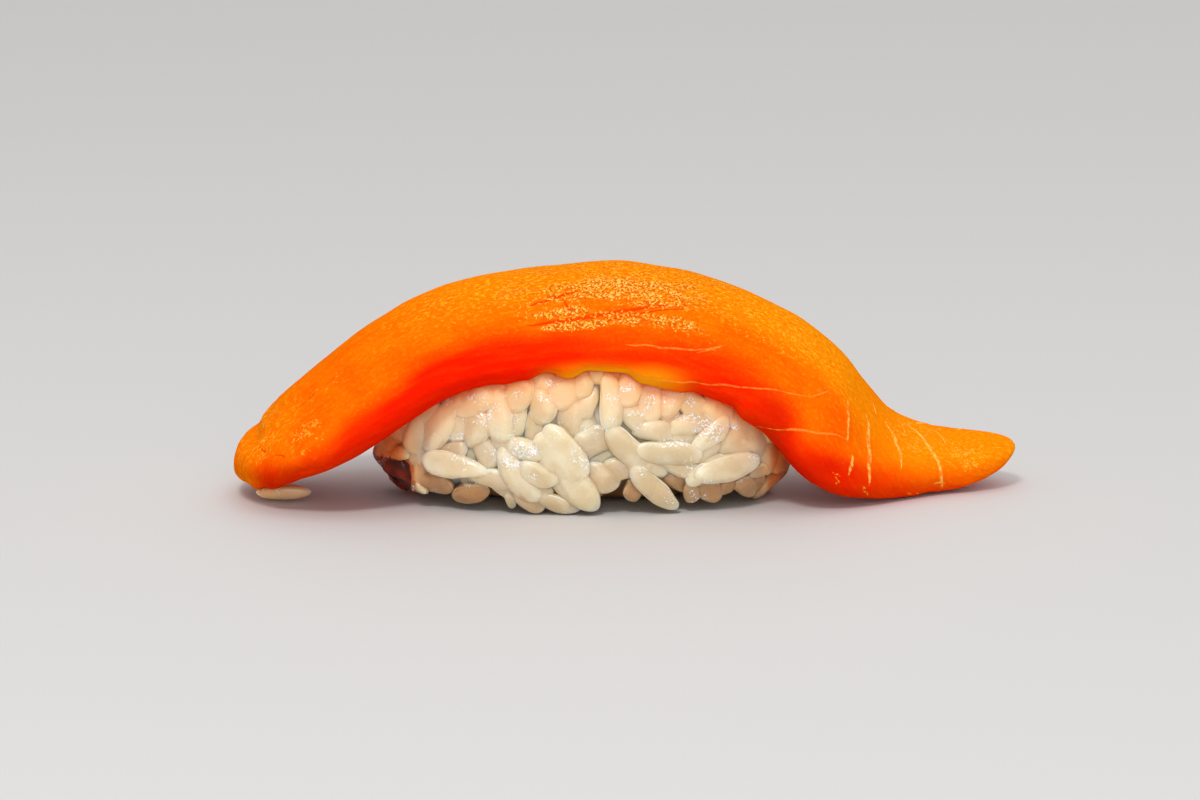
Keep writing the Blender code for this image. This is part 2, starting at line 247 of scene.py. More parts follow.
# Painted glints of wet starch, in the front view: x, height, reach across, reach up, strength.
GLINTS = (
    (-17, 11.1, 1.3, 0.6, 0.7), (-16.4, 8.4, 0.5, 1, 0.7), (-19, 6.7, 0.7, 0.5, 0.7),
    (-19.7, 4.2, 0.8, 0.5, 0.5), (-17.8, 3.8, 1.2, 0.6, 0.6), (-12.7, 11.4, 1.3, 0.5, 0.6),
    (-12.6, 8.5, 0.7, 0.6, 0.7), (-11.5, 5, 1.7, 0.9, 1), (-13.2, 3.6, 1.3, 0.8, 0.9),
    (-10.6, 2.1, 1, 0.4, 0.7), (-9.2, 11, 1, 0.6, 0.5), (-8.3, 12.8, 0.8, 0.6, 0.6),
    (-8, 6.8, 0.8, 0.5, 0.6), (-4.4, 3.2, 0.6, 1.4, 0.5), (-3.3, 7.4, 1.6, 0.4, 0.7),
    (-1.4, 11, 0.9, 0.8, 0.7), (-1.3, 8.5, 0.7, 0.4, 0.6), (0.2, 12.2, 0.9, 0.5, 0.7),
    (1.3, 9.2, 1, 0.5, 0.7), (1.9, 7.7, 1, 0.4, 0.9), (3, 10.5, 0.7, 0.9, 0.8),
    (5.5, 5.8, 2, 0.5, 1), (5, 10.6, 0.9, 0.8, 0.5), (6.4, 11.9, 1, 0.6, 0.5),
    (7.3, 8.8, 1.4, 0.5, 0.9), (7.5, 10.6, 0.7, 0.7, 0.6), (9.6, 7.2, 1.8, 1.3, 1),
    (12.6, 7.7, 1, 0.4, 0.8), (14.6, 4.2, 0.9, 0.7, 0.6), (7.8, -0.2, 0.6, 0.8, 0.6),
)
# The grain that has stuck under the blunt end: middle, turn on the table, length, width.
STRAY_MIDDLE = (-39.0, -5.6, 1.3)
STRAY_TURN_DEG = -5.0
STRAY_LENGTH = 6.4
STRAY_WIDTH = 2.9
# How brown the stray grain is painted, by the same mix that paints shade on the other grains.
STRAY_TAN_AND_SHADE = 0.45


# ------------------------------------------------------------------ colours
def colour(red, green, blue):
    """A colour given in 0 to 255 steps as screens show them, made linear for the shader."""
    def linear(step):
        share = step / 255
        return share / 12.92 if share <= 0.04045 else ((share + 0.055) / 1.055) ** 2.4

    return linear(red), linear(green), linear(blue), 1.0


SALMON_ORANGE = colour(248, 92, 1)
SALMON_LIGHT = colour(248, 106, 2)
SALMON_GOLD = colour(249, 128, 5)
# Painted light: the tops of the shoulder and the tail painted lighter golden where light falls.
SHOULDER_LIT_GOLD = colour(250, 137, 4)
# The crown's golden is partly painted light; its pale specks are painted highlights, its brown
# specks painted shade in small pits.
CROWN_LIT_GOLD = colour(247, 140, 8)
CROWN_HIGHLIGHT = colour(253, 178, 30)
CROWN_PIT_SHADE = colour(212, 94, 4)
# The flesh's own deep red, partly painted shade where the sides face down.
DEEP_RED_AND_SHADE = colour(243, 26, 1)
# Painted shade: darker red along the slice's lower edge.
UNDER_SHADE_RED = colour(196, 30, 4)
# Painted light: a golden glow along the slice's lower edge over the rice.
RIM_GLOW_GOLD = colour(255, 172, 16)
# Red in the grooves, partly painted shade in the sunken lines.
GROOVE_RED_AND_SHADE = colour(238, 50, 2)
# Painted highlight along the steps in the flesh.
LEDGE_HIGHLIGHT = colour(255, 168, 62)
FAT_PALE = colour(255, 186, 84)
# Painted highlights of the wet skin, and painted shade in the gaps between them.
FLECK_GAP_SHADE = colour(196, 66, 4)
FLECK_HIGHLIGHT_GOLD = colour(252, 172, 44)
FLECK_HIGHLIGHT_PALE = colour(252, 204, 122)
RICE_CREAM = colour(228, 212, 176)
RICE_DARKER = colour(212, 191, 153)
RICE_LIGHT = colour(233, 223, 199)
# Painted light: the grains' ends lighter, as light comes through them.
RICE_TIP_GLOW = colour(246, 238, 216)
# Painted highlight: a light line where each grain turns away.
RICE_RIM_HIGHLIGHT = colour(252, 244, 222)
# Painted shade: brown deep between the grains and at the foot.
RICE_TAN_SHADE = colour(178, 126, 72)
# Painted glints on the wet starch, and painted shade in the hollows between them.
GLINT_WHITE = colour(255, 254, 250)
GLINT_HOLLOW_SHADE = colour(206, 188, 148)
# Painted shade: near black in the deepest hollows at the foot.
RICE_DEEP_SHADE = colour(52, 34, 24)
# Pink and orange by the fish: partly juice, partly painted light bounced off the fish.
STAIN_BOUNCE_PINK = colour(252, 194, 134)
STAIN_BOUNCE_ORANGE = colour(242, 122, 44)
# Dark red to near black at the left end under the slice: juice and painted shade.
STAIN_SHADE_RED = colour(146, 40, 10)
STAIN_SHADE_DARK = colour(64, 16, 8)
TABLE_GREY = (0.62, 0.61, 0.60, 1)

# ------------------------------------------------------------------ the studio
TABLE_HALF = 4.0
# Suns: name, azimuth from the front, elevation, strength and how many degrees wide.
SUNS = (("key", 6, 18, 0.86, 40), ("overhead", 0, 75, 0.64, 60), ("back_fill", 165, 40, 0.5, 60))
AIM = (-2.87, 0.0, 10.96)
CAMERA_TILT_DEG = 10.0
CAMERA_DISTANCE = 520.0
FRAME_WIDTH = 137.8
SENSOR_WIDTH = 36.0


# ================================================================== shared shape functions
def spline(stations, at):
    """A natural cubic spline through (place, value) stations, read at the places given."""
    knots, values = np.array(stations, float).T
    span = np.diff(knots)
    climb = np.diff(values) / span
    matrix = np.eye(len(knots))
    change = np.zeros(len(knots))
    for i in range(1, len(knots) - 1):
        matrix[i, i - 1 : i + 2] = span[i - 1], 2 * (span[i - 1] + span[i]), span[i]
        change[i] = 6 * (climb[i] - climb[i - 1])
    bend = np.linalg.solve(matrix, change)
    i = np.clip(np.searchsorted(knots, at) - 1, 0, len(span) - 1)
    after, before = at - knots[i], knots[i + 1] - at
    h = span[i]
    curved = (bend[i] * before**3 + bend[i + 1] * after**3) / (6 * h)
    straight = (values[i] / h - bend[i] * h / 6) * before
    return curved + straight + (values[i + 1] / h - bend[i + 1] * h / 6) * after


def squared(value, squareness):
    """A sine or cosine pushed outwards, so that a circle becomes a rounded rectangle."""
    return np.sign(value) * np.abs(value) ** (2 / squareness)


def smooth(value):
    """0 below 0, 1 above 1, and an S curve between."""
    t = np.clip(value, 0, 1)
    return t * t * (3 - 2 * t)


def rise(value, start, reach):
    """An S curve from 0 at the start to 1 a reach further on, or further back if it is negative."""
    return smooth((value - start) / reach)


def bump(distance, width):
    """A soft bell: 1 at no distance, falling off over the width."""
    return np.exp(-((distance / width) ** 2))


def patches(rows, x, y):
    """Soft-edged ovals, each row the middle's x and y, the reach along both and a strength."""
    total = np.zeros(x.shape)
    for middle_x, middle_y, reach_x, reach_y, strength in rows:
        away = ((x - middle_x) / reach_x) ** 2 + ((y - middle_y) / reach_y) ** 2
        total = np.maximum(total, strength * smooth(1.5 - away))
    return total


def value_noise(places, size, seed):
    """Smooth noise from -1 to 1: random values on a lattice of that size, blended with S curves."""
    table = np.random.default_rng(seed).uniform(-1, 1, 4096)
    scaled = np.asarray(places) / size
    cell = np.floor(scaled).astype(np.int64)
    share = smooth(scaled - cell)
    total = 0.0
    for corner in product((0, 1), repeat=3):
        x, y, z = np.moveaxis(cell + corner, -1, 0)
        value = table[(x * 73856093 ^ y * 19349663 ^ z * 83492791) & 4095]
        weight = np.where(corner, share, 1 - share).prod(axis=-1)
        total = total + weight * value
    return total


def unit(vectors):
    return vectors / np.maximum(np.linalg.norm(vectors, axis=-1, keepdims=True), 1e-9)


def tube_faces(rings, sides):
    """Quads and end triangles of rings of points closed by two poles, facing outwards.

    The points are numbered ring by ring, then the first pole and the last. Seen from the
    last ring, each ring runs anticlockwise.
    """
    here = np.arange(rings * sides).reshape(rings, sides)
    there = np.roll(here, -1, axis=1)
    quads = np.stack([here[:-1], there[:-1], there[1:], here[1:]], axis=-1).reshape(-1, 4)
    first, last = np.full(sides, rings * sides), np.full(sides, rings * sides + 1)
    start = np.stack([first, there[0], here[0]], axis=-1)
    end = np.stack([last, here[-1], there[-1]], axis=-1)
    return quads.tolist() + start.tolist() + end.tolist()


def add_piece(name, rings, poles, centring, material, values):
    """A closed piece from rings of points and two poles, with values at each point."""
    points = (np.concatenate([rings.reshape(-1, 3), poles]) + centring) * MM
    mesh = bpy.data.meshes.new(name)
    mesh.from_pydata(points.tolist(), [], tube_faces(*rings.shape[:2]))
    return finish_piece(name, mesh, material, values)


def finish_piece(name, mesh, material, values):
    """A smooth mesh made a piece that rides on the one body."""
    mesh.name = name
    for kind, value in values.items():
        attribute = mesh.attributes.new(kind, "FLOAT", "POINT")
        attribute.data.foreach_set("value", np.asarray(value, np.float32))
    mesh.shade_smooth()
    mesh.materials.clear()
    mesh.materials.append(material)
    piece = bpy.data.objects.new(name, mesh)
    bpy.context.scene.collection.objects.link(piece)
    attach(piece, "root")
    return piece


# ================================================================== the slice
def spine_points(shares):
    """The slice's spine at shares of its length: x, z and slope there, and its length."""
    corners = np.array(SPINE)
    chord = np.concatenate([[0], np.cumsum(np.linalg.norm(np.diff(corners, axis=0), axis=1))])
    length = chord[-1]
    chord /= length
    x, z = (spline(np.column_stack([chord, side]), shares) for side in corners.T)
    slope = np.arctan2(np.gradient(z, shares), np.gradient(x, shares))
    return x, z, slope, length


def even_turns():
    """Turns that put a ring's points evenly apart.

    They run from the middle of the underside up the far side, over the crown and down the
    near side. The turns are read off the running length of a rounded rectangle.
    """
    turn = np.linspace(-np.pi / 2, 3 * np.pi / 2, 8001)
    across = USUAL_WIDTH / 2 * squared(np.cos(turn), EDGE_SQUARENESS)
    up = USUAL_THICKNESS / 2 * squared(np.sin(turn), EDGE_SQUARENESS)
    run = np.concatenate([[0], np.cumsum(np.hypot(np.diff(across), np.diff(up)))])
    return np.interp(np.linspace(0, run[-1], SLICE_SIDES + 1)[:-1], run, turn)


def slab_rings(shares, turn):
    """The bare slab's rings of points.

    Each ring starts as a rounded rectangle, its points b across and c up. It is bent over
    a cylinder of radius R: side = (R + c) sin(b / R), lift = (R + c) cos(b / R) - R. The
    ring is then rolled about the spine and set square to it. Both ends close as quarter
    ellipses, and flesh that reaches the table lies flat on it.
    """
    x, z, slope, length = spine_points(shares)
    to_end = np.minimum(shares, 1 - shares) * length
    closing = np.sqrt(1 - np.clip(1 - to_end / END_ROUNDING, 0, 1) ** 2)
    thickness = spline(SLICE_THICKNESS, shares) * closing
    near = spline(NEAR_HALF_WIDTH, shares) * closing
    far = spline(FAR_HALF_WIDTH, shares) * closing
    radius = 1 / spline(BEND, shares)[:, None]
    shift = spline(SIDE_SHIFT, shares)
    roll = np.radians(spline(SIDE_ROLL_DEG, shares))[:, None]

    cos, sin = squared(np.cos(turn), EDGE_SQUARENESS), squared(np.sin(turn), EDGE_SQUARENESS)
    angle = np.where(cos < 0, near[:, None], far[:, None]) * cos / radius
    reach = radius + thickness[:, None] / 2 * sin
    across, up = reach * np.sin(angle), reach * np.cos(angle) - radius
    side = across * np.cos(roll) - up * np.sin(roll)
    lift = across * np.sin(roll) + up * np.cos(roll)
    points = np.empty((len(shares), len(turn), 3))
    points[..., 0] = x[:, None] - np.sin(slope)[:, None] * lift
    points[..., 1] = shift[:, None] + side
    points[..., 2] = np.maximum(z[:, None] + np.cos(slope)[:, None] * lift, 0)
    return points, length


def around_crown(points, turn):
    """How far each point lies round its ring from the crown: negative is the near side.

    It is the running length of the ring's own sides. The extra last column closes the ring.
    """
    sides = np.linalg.norm(np.roll(points, -1, axis=1) - points, axis=2)
    run = np.concatenate([np.zeros((len(points), 1)), np.cumsum(sides, axis=1)], axis=1)
    crown = np.argmin(np.abs(turn - np.pi / 2))
    return run[:, crown : crown + 1] - run


def from_far(share, around):
    """Places on the far side moved to where their marks lie on the near side."""
    far = around > FAR_FROM
    return np.where(far, share - FAR_MOVE, share), np.where(far, -around / FAR_DRAW_IN, around)


def beside_lines(lines, share, around, length):
    """For each line, how far places lie beside it, in millimetres, its fade and half width.

    The line's middle lies its bow times the arch 4x(1 - x) beside the straight run, with x
    from 0 at its start to 1 at its end. It fades as the arch's root.
    """
    for (start, start_side), (end, end_side), bow, half_width in lines:
        way = np.array([(end - start) * length, end_side - start_side])
        reach = np.hypot(*way)
        u, v = (share - start) * length, around - start_side
        place = (u * way[0] + v * way[1]) / reach**2
        arch = np.clip(4 * place * (1 - place), 0, 1)
        yield (v * way[0] - u * way[1]) / reach - bow * arch, np.sqrt(arch), half_width


def marked(lines, *places):
    """How strongly each place is marked by the lines, each made wider by a margin."""
    total = 0.0
    for beside, fade, half_width in beside_lines(lines, *places):
        total = np.maximum(total, bump(beside, half_width + LINE_MARGIN) * fade)
    return total


def ledges(*places):
    """Low steps in the flesh: over each line it stands out, and a little way off it is level."""
    total = 0.0
    for beside, fade, _ in beside_lines(LEDGES, *places):
        total += np.tanh(beside / 0.25) * np.exp(-np.abs(beside) / 1.3) * fade
    return total


def slice_values(points, share, around):
    """The marks on the slice, each from 0 to 1 at every point."""
    out = np.abs(around) + 1.2 * value_noise(points, 6.0, 41)
    # Deep red down the sides: partly the flesh's own, partly painted shade where they face down.
    past_red = out - spline(RED_START, share)
    red = smooth(past_red / spline(RED_FADE, share))
    # The very edge, painted darker red as shade.
    edge_on = rise(past_red, 1.6, 3.0)
    # A golden glow along the lower edge over the rice: painted light for what comes through the thin
    # flesh and off the rice.
    over_rice = rise(share, 0.375, 0.07) * rise(share, 0.61, -0.08)
    golden = rise(out, 18.0, 2.4) * rise(out, 22.6, -2)
    # The crown, the tail and the blunt end: painted lighter golden, partly painted light, with
    # painted highlight specks and pit shade.
    crown = rise(share, 0.84, -0.14) * rise(share, 0.16, 0.20)
    crown *= rise(np.abs(around + 1), 11.5, -6)
    tail = 0.5 * rise(share, 0.82, 0.06) * rise(np.abs(around), 9, -5)
    blunt = 0.5 * rise(share, 0.15, -0.06) * rise(np.abs(around), 15, -5)
    # The tops of the shoulder and the tail, painted lighter golden as painted light.
    shoulder = rise(share, 0.52, 0.22) * rise(np.abs(around + 1), 11, -5)
    tail_top = rise(share, 0.80, 0.05) * rise(np.abs(around), 12, -7)
    return {
        "deep": np.clip(red * spline(RED_DEPTH, share), 0, 1),
        "rim": golden * over_rice * np.where(around > 0, 0.6, 1),
        "fleck": patches(FLECK_PATCHES, *from_far(share, around)),
        "under": np.clip(edge_on * spline(UNDER_SHADE_DEPTH, share), 0, 1),
        "crown": np.maximum(crown, np.maximum(tail, blunt)),
        "gold": np.maximum(shoulder, tail_top),
        "crackle": rise(share, 0.34, 0.05) * rise(share, 0.66, -0.06),
    }


def slice_relief(points, share, around, length):
    """How far each point stands out of the bare slab.

    Broad swells, flesh fibres drawn out along the slice, sunken grooves, steps in the
    flesh, fat lines that stand a little proud, an edge that gives way to the grains under
    it, and the notch and the lobe of the blunt end.
    """
    along = share * length
    near = (*from_far(share, around), length)
    drawn = np.stack([along / 7, around, np.zeros_like(around)], axis=-1)
    upright = np.stack([along, around / 7, np.zeros_like(around)], axis=-1)
    relief = 0.24 * value_noise(points, 9.0, 1) + 0.10 * value_noise(points, 3.5, 2)
    relief += 0.05 * value_noise(drawn, 1.0, 3)
    relief -= 0.16 * marked(GROOVES, *near)
    relief += 0.08 * marked(FAT_LINES, *near)
    relief += 0.16 * ledges(*near)
    lower_edge = bump(np.abs(around) - 20.5, 2.2)
    over_grains = rise(share, 0.26, 0.06) * rise(share, 0.72, -0.06)
    relief += 0.7 * value_noise(upright, 2.6, 5) * lower_edge * over_grains
    rough_ends = bump(share - 0.05, 0.06) + 0.5 * bump(share - 0.92, 0.06)
    rough = 0.28 * value_noise(points, 2.2, 6) + 0.08 * value_noise(points, 0.9, 7)
    relief += rough * rough_ends
    notch = bump(share - 0.052, 0.012) * bump(around + 3.5, 7.0)
    lobe = bump(share - 0.026, 0.016) * bump(around + 6.0, 8.0)
    return relief - 0.8 * notch + 0.4 * lobe


def outward_ways(points):
    """Unit vectors pointing out of the skin, square to its two grid directions."""
    along = np.gradient(points, axis=0)
    round_ = np.roll(points, -1, axis=1) - np.roll(points, 1, axis=1)
    return unit(np.cross(round_, along))


def make_slice(material):
    """The fine slice, and how far the design's own axes lie from the frame's."""
    even = np.linspace(0.0, 1.0, SLICE_RINGS + 2)
    shares = (1 - END_CROWDING) * even + END_CROWDING * (1 - np.cos(np.pi * even)) / 2
    turn = even_turns()
    rings, length = slab_rings(shares, turn)
    poles = rings[[0, -1]].mean(axis=1)
    rings, shares = rings[1:-1], shares[1:-1]
    low, high = (np.array(corner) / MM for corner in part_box("salmon_slice"))
    middle = (rings.min(axis=(0, 1)) + rings.max(axis=(0, 1))) / 2
    centring = (low + high) / 2 - middle
    centring[2] = low[2] - rings[..., 2].min()

    closed = around_crown(rings, turn)
    around = closed[:, :-1]
    share = np.broadcast_to(shares[:, None], around.shape)
    values = slice_values(rings, share, around)
    relief = slice_relief(rings, share, around, length)
    relief *= smooth(np.minimum(share, 1 - share) / 0.012)
    rings = rings + relief[..., None] * outward_ways(rings)
    rings[..., 2] = np.maximum(rings[..., 2], 0)

    at_poles = {kind: value[[0, -1]].mean(axis=1) for kind, value in values.items()}
    flat = {kind: np.append(value.ravel(), at_poles[kind]) for kind, value in values.items()}
    piece = add_piece("salmon_fine", rings, poles, centring, material, flat)
    lay_out_skin(piece.data, shares * length, closed)
    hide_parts("salmon_slice")
    return rings, centring


def lay_out_skin(mesh, along, closed):
    """The slice's UV map, in millimetres along it and round from its crown."""
    u = np.broadcast_to(along[:, None], closed.shape)
    flat = np.stack([u, closed], axis=-1)
    quads = np.stack([flat[:-1, :-1], flat[:-1, 1:], flat[1:, 1:], flat[1:, :-1]], axis=2)
    start = np.stack([flat[0, :-1], flat[0, 1:], flat[0, :-1]], axis=1)
    end = np.stack([flat[-1, :-1], flat[-1, :-1], flat[-1, 1:]], axis=1)
    layer = mesh.uv_layers.new(name="skin")
    corners = [part.reshape(-1, 2) for part in (quads, start, end)]
    layer.uv.foreach_set("vector", np.concatenate(corners).astype(np.float32).ravel())


# ================================================================== the rice
def dome_level(points, inset):
    """Under 1 inside the mound drawn in by inset, 1 on its skin and more outside.

    It is a squared circle in plan, stretched to an egg-like dome by a squared ellipse that
    is RICE_RISE tall above the waist and RICE_DEPTH deep below it.
    """
    x = np.abs(points[..., 0] - RICE_CENTRE_X) / (RICE_HALF_LENGTH - inset)
    y = np.abs(points[..., 1]) / (RICE_HALF_WIDTH - inset)
    height = points[..., 2] - RICE_WAIST
    z = np.abs(height) / (np.where(height < 0, RICE_DEPTH, RICE_RISE) - inset)
    plan = x**PLAN_SQUARENESS + y**PLAN_SQUARENESS
    return plan ** (DOME_SQUARENESS / PLAN_SQUARENESS) + z**DOME_SQUARENESS


def dome_way(points, inset):
    """The mound's outward way at points, and how fast its level grows along it."""
    step = 0.05
    offsets = np.eye(3) * step
    slopes = [
        (dome_level(points + way, inset) - dome_level(points - way, inset)) / (2 * step)
        for way in offsets
    ]
    slope = np.stack(slopes, axis=-1)
    return unit(slope), np.linalg.norm(slope, axis=-1)


def onto_dome(points, inset):
    """Points moved straight onto the drawn-in mound's skin, by a few Newton steps."""
    for _ in range(4):
        out, growth = dome_way(points, inset)
        off = (dome_level(points, inset) - 1) / np.maximum(growth, 1e-3)
        points = points - np.clip(off, -2, 2)[..., None] * out
    return points


class Ceiling:
    """The slice's underside: its lowest height over each square millimetre of the table."""

    def __init__(self, rings):
        points = rings.reshape(-1, 3)
        self.corner = np.floor(points.min(axis=0)) - 1
        size = (np.ceil(points.max(axis=0)) - self.corner + 2).astype(int)
        self.lowest = np.full(size[:2], np.inf)
        at = (points - self.corner).astype(int)
        np.minimum.at(self.lowest, (at[:, 0], at[:, 1]), points[:, 2])

    def over(self, places):
        """The height over each place, infinite beside the slice."""
        at = np.floor(places[..., :2] - self.corner[:2]).astype(int)
        at = np.clip(at, 0, np.array(self.lowest.shape) - 1)
        return self.lowest[at[..., 0], at[..., 1]]


def camera_axes():
    """The camera's place, its right, its up and its way forward."""
    tilt = math.radians(CAMERA_TILT_DEG)
    forward = np.array([0.0, math.cos(tilt), -math.sin(tilt)])
    up = np.array([0.0, math.sin(tilt), math.cos(tilt)])
    return np.array(AIM) - CAMERA_DISTANCE * forward, np.array([1.0, 0, 0]), up, forward


def front_places(x, height, inset):
    """Where sight lines through (x, height) of the front view first meet the drawn-in mound.

    The front view is the upright plane through the aim. The sight line is stepped in short
    steps, and the first step inside the mound is taken.
    """
    eye, right, up, _ = camera_axes()
    side = x - AIM[0]
    climb = height - AIM[2] * math.cos(math.radians(CAMERA_TILT_DEG))
    on_plane = np.array(AIM) + side[:, None] * right + climb[:, None] * up
    sight = unit(on_plane - eye)
    steps = np.linspace(-26, 10, 400)
    line = on_plane[:, None] + steps[None, :, None] * sight[:, None]
    inside = dome_level(line, inset[:, None]) < 1
    first = np.where(inside.any(axis=1), inside.argmax(axis=1), len(steps) // 3)
    return on_plane + steps[first][:, None] * sight


class Grains:
    """Rice grains as arrays: middles, axes, outward ways, lengths, widths and how brown, mostly
    painted shade.
    """

    BEADS = 5
    KINDS = ("middle", "axis", "out", "length", "width", "tan")

    def __init__(self, middle, axis, out, length, width, tan):
        self.middle, self.axis, self.out = middle, unit(axis), out
        self.length, self.width, self.tan = length, width, tan

    def beads(self):
        """The middles of the row of beads that stands for each grain."""
        place = np.linspace(-0.5, 0.5, self.BEADS)
        reach = (self.length - self.width)[:, None] * place
        return self.middle[:, None] + reach[..., None] * self.axis[:, None]

    def kept(self, keep):
        return Grains(*(getattr(self, kind)[keep] for kind in self.KINDS))

    def joined(self, other):
        pairs = ((getattr(self, kind), getattr(other, kind)) for kind in self.KINDS)
        return Grains(*(np.concatenate(pair) for pair in pairs))


def front_grains():
    """The grains of the front, laid on the mound where the camera sees them."""
    x, height, lean, length, width, stand, tan = np.array(FRONT_GRAINS).T
    width = FRONT_BREADTH * width
    place = front_places(x, height, width * 0.24 - 0.85 * stand)
    out, _ = dome_way(place, 0.0)
    _, right, up, forward = camera_axes()
    lean = np.radians(lean)
    seen = np.cos(lean)[:, None] * right + np.sin(lean)[:, None] * up
    back = -(seen * out).sum(axis=1) / np.minimum(out @ forward, -0.35)
    back = np.clip(back, -0.9, 0.9)
    return Grains(place, seen + back[:, None] * forward, out, length, width, tan)


def spread_grains(count, inset, seed):
    """Grains spread evenly over the mound at one depth, each lying along the skin.

    Of many random places the one that lies furthest from all those taken is taken next.
    """
    rng = np.random.default_rng(seed)
    ball = unit(rng.normal(size=(PLACES_TRIED, 3)))
    size = np.array([RICE_HALF_LENGTH, RICE_HALF_WIDTH, RICE_RISE])
    places = ball * size + np.array([RICE_CENTRE_X, 0, RICE_WAIST])
    places = onto_dome(places, inset)
    places = places[(places[:, 2] > LOWEST_PLACE) & (places[:, 2] < HIGHEST_PLACE)]
    taken = np.zeros(count, int)
    gap = np.full(len(places), np.inf)
    for k in range(count):
        taken[k] = gap.argmax() if k else 0
        gap = np.minimum(gap, np.linalg.norm(places - places[taken[k]], axis=1))
    middle = places[taken]
    out, _ = dome_way(middle, inset)
    axis = rng.normal(size=(count, 3))
    axis -= 0.85 * (axis * out).sum(axis=1, keepdims=True) * out
    length = GRAIN_LENGTH * rng.uniform(0.82, 1.12, count)
    width = GRAIN_WIDTH * rng.uniform(0.85, 1.12, count)
    # Browned a little at random, and painted shade towards the foot.
    tan = rng.uniform(0.0, 0.25, count) + 0.6 * rise(middle[:, 2], 3.0, -1.5)
    return Grains(middle, axis, out, length, width, tan)


def settle(grains, fixed, inset, ceiling, closeness, steps):
    """Pushes overlapping grains apart and keeps them on the mound, on the table, under the slice.

    Two grains touch where their beads are closer than closeness times the beads' radii
    together. Each push moves the grain and turns it. The fixed grains don't move.
    """
    count = len(grains.length)
    both = grains.joined(fixed)
    for _ in range(steps):
        beads = both.beads()
        reach = np.linalg.norm(both.middle[:count, None] - both.middle[None], axis=2)
        apart = np.arange(len(both.length)) != np.arange(count)[:, None]
        first, second = np.nonzero((reach < NEIGHBOUR_REACH) & apart)
        between = beads[first][:, :, None] - beads[second][:, None]
        distance = np.linalg.norm(between, axis=-1)
        allowed = closeness * (both.width[first] + both.width[second]) / 2
        overlap = np.maximum(allowed[:, None, None] - distance, 0)
        share = np.where(second < count, 0.5, 1.0)[:, None, None]
        push = ((share * overlap)[..., None] * unit(between)).sum(axis=2)
        lever = beads[first] - both.middle[first][:, None]
        move, turn = np.zeros((count, 3)), np.zeros((count, 3))
        np.add.at(move, first, push.sum(axis=1) / both.BEADS)
        np.add.at(turn, first, np.cross(lever, push).sum(axis=1) / 60)
        limit = np.maximum(np.linalg.norm(move, axis=1, keepdims=True), 0.4)
        middle = both.middle[:count] + 0.4 * move / limit
        middle = 0.6 * onto_dome(middle, inset) + 0.4 * middle
        axis = unit(both.axis[:count] + np.cross(np.clip(turn, -0.2, 0.2), both.axis[:count]))
        standing = (axis * both.out[:count]).sum(axis=1, keepdims=True)
        axis = unit(axis - 0.06 * standing * both.out[:count])
        both.middle[:count], both.axis[:count] = middle, axis
        both.out[:count] = dome_way(middle, inset)[0]
        both.middle[:count, 2] += lift_clear(both, ceiling)[:count]
    return both.kept(np.arange(len(both.length)) < count)


def lift_clear(grains, ceiling, sunk=0.0):
    """How far each grain has to move up off the table or down from under the slice.

    It may stay sunk that far into the soft flesh.
    """
    beads, radius = grains.beads(), grains.width[:, None] / 2
    up = np.maximum(0.92 * radius - beads[..., 2], 0).max(axis=1)
    down = np.maximum(beads[..., 2] + 0.9 * radius - sunk - ceiling.over(beads), 0).max(axis=1)
    return np.where(up > 0, up, -np.minimum(down, 2.5))


def buried(grains, others, closeness):
    """Which grains lie too deep in others that stay."""
    gap = np.linalg.norm(grains.beads()[:, :, None, None] - others.beads()[None, None], axis=-1)
    allowed = closeness * (grains.width[:, None] + others.width) / 2
    return (gap < allowed[:, None, :, None]).any(axis=3).any(axis=2).sum(axis=1) >= 2


def clear_of_slice(grains, ceiling):
    """Which grains fit under the slice."""
    beads = grains.beads()
    return (beads[..., 2] + 0.55 * grains.width[:, None] / 2 < ceiling.over(beads)).all(axis=1)


def lay_grains(ceiling):
    """All the grains of the mound: the front ones as listed, the rest spread and settled."""
    front = front_grains()
    front.middle[:, 2] += np.clip(lift_clear(front, ceiling, SUNK), -1.2, 2.0)
    outer = spread_grains(OUTER_COUNT, OUTER_INSET, GRAIN_SEED)
    outer = settle(outer, front, OUTER_INSET, ceiling, 0.70, 60)
    behind = (outer.out[:, 1] > -0.25) | (outer.middle[:, 1] > -3.0)
    behind &= (outer.middle[:, 0] > -26.6) | (outer.middle[:, 1] > 1.0)
    outer = outer.kept(behind & ~buried(outer, front, 0.6) & clear_of_slice(outer, ceiling))
    outside = front.joined(outer)
    inner = spread_grains(INNER_COUNT, INNER_INSET, GRAIN_SEED + 1)
    inner = settle(inner, outside, INNER_INSET, ceiling, 0.62, 30)
    inner = inner.kept(~buried(inner, outside, 0.40) & clear_of_slice(inner, ceiling))
    inner = inner.kept((inner.out[:, 1] > -0.25) | (inner.middle[:, 2] > 4.5))
    return front, outer.joined(inner)


def pressed_flat(local, grains, rng):
    """Grains pressed flat where their neighbours lay: outside, below and at the sides.

    Each press is a plane square to a way that leans at random, at a share of the grain's
    reach that way. What stands out past the plane is moved back onto it.
    """
    side = np.cross(grains.out, grains.axis)
    ways = (grains.out, -grains.out, side, -side)
    for way, (low, high) in zip(ways, PRESSES):
        way = unit(way + PRESS_LEAN * rng.normal(size=way.shape))
        far = np.einsum("gpc,gc->gp", local, way)
        limit = far.max(axis=1) * rng.uniform(low, high, len(far))
        over = np.maximum(far - limit[:, None], 0)
        local = local - 0.9 * over[..., None] * way[:, None]
    return local


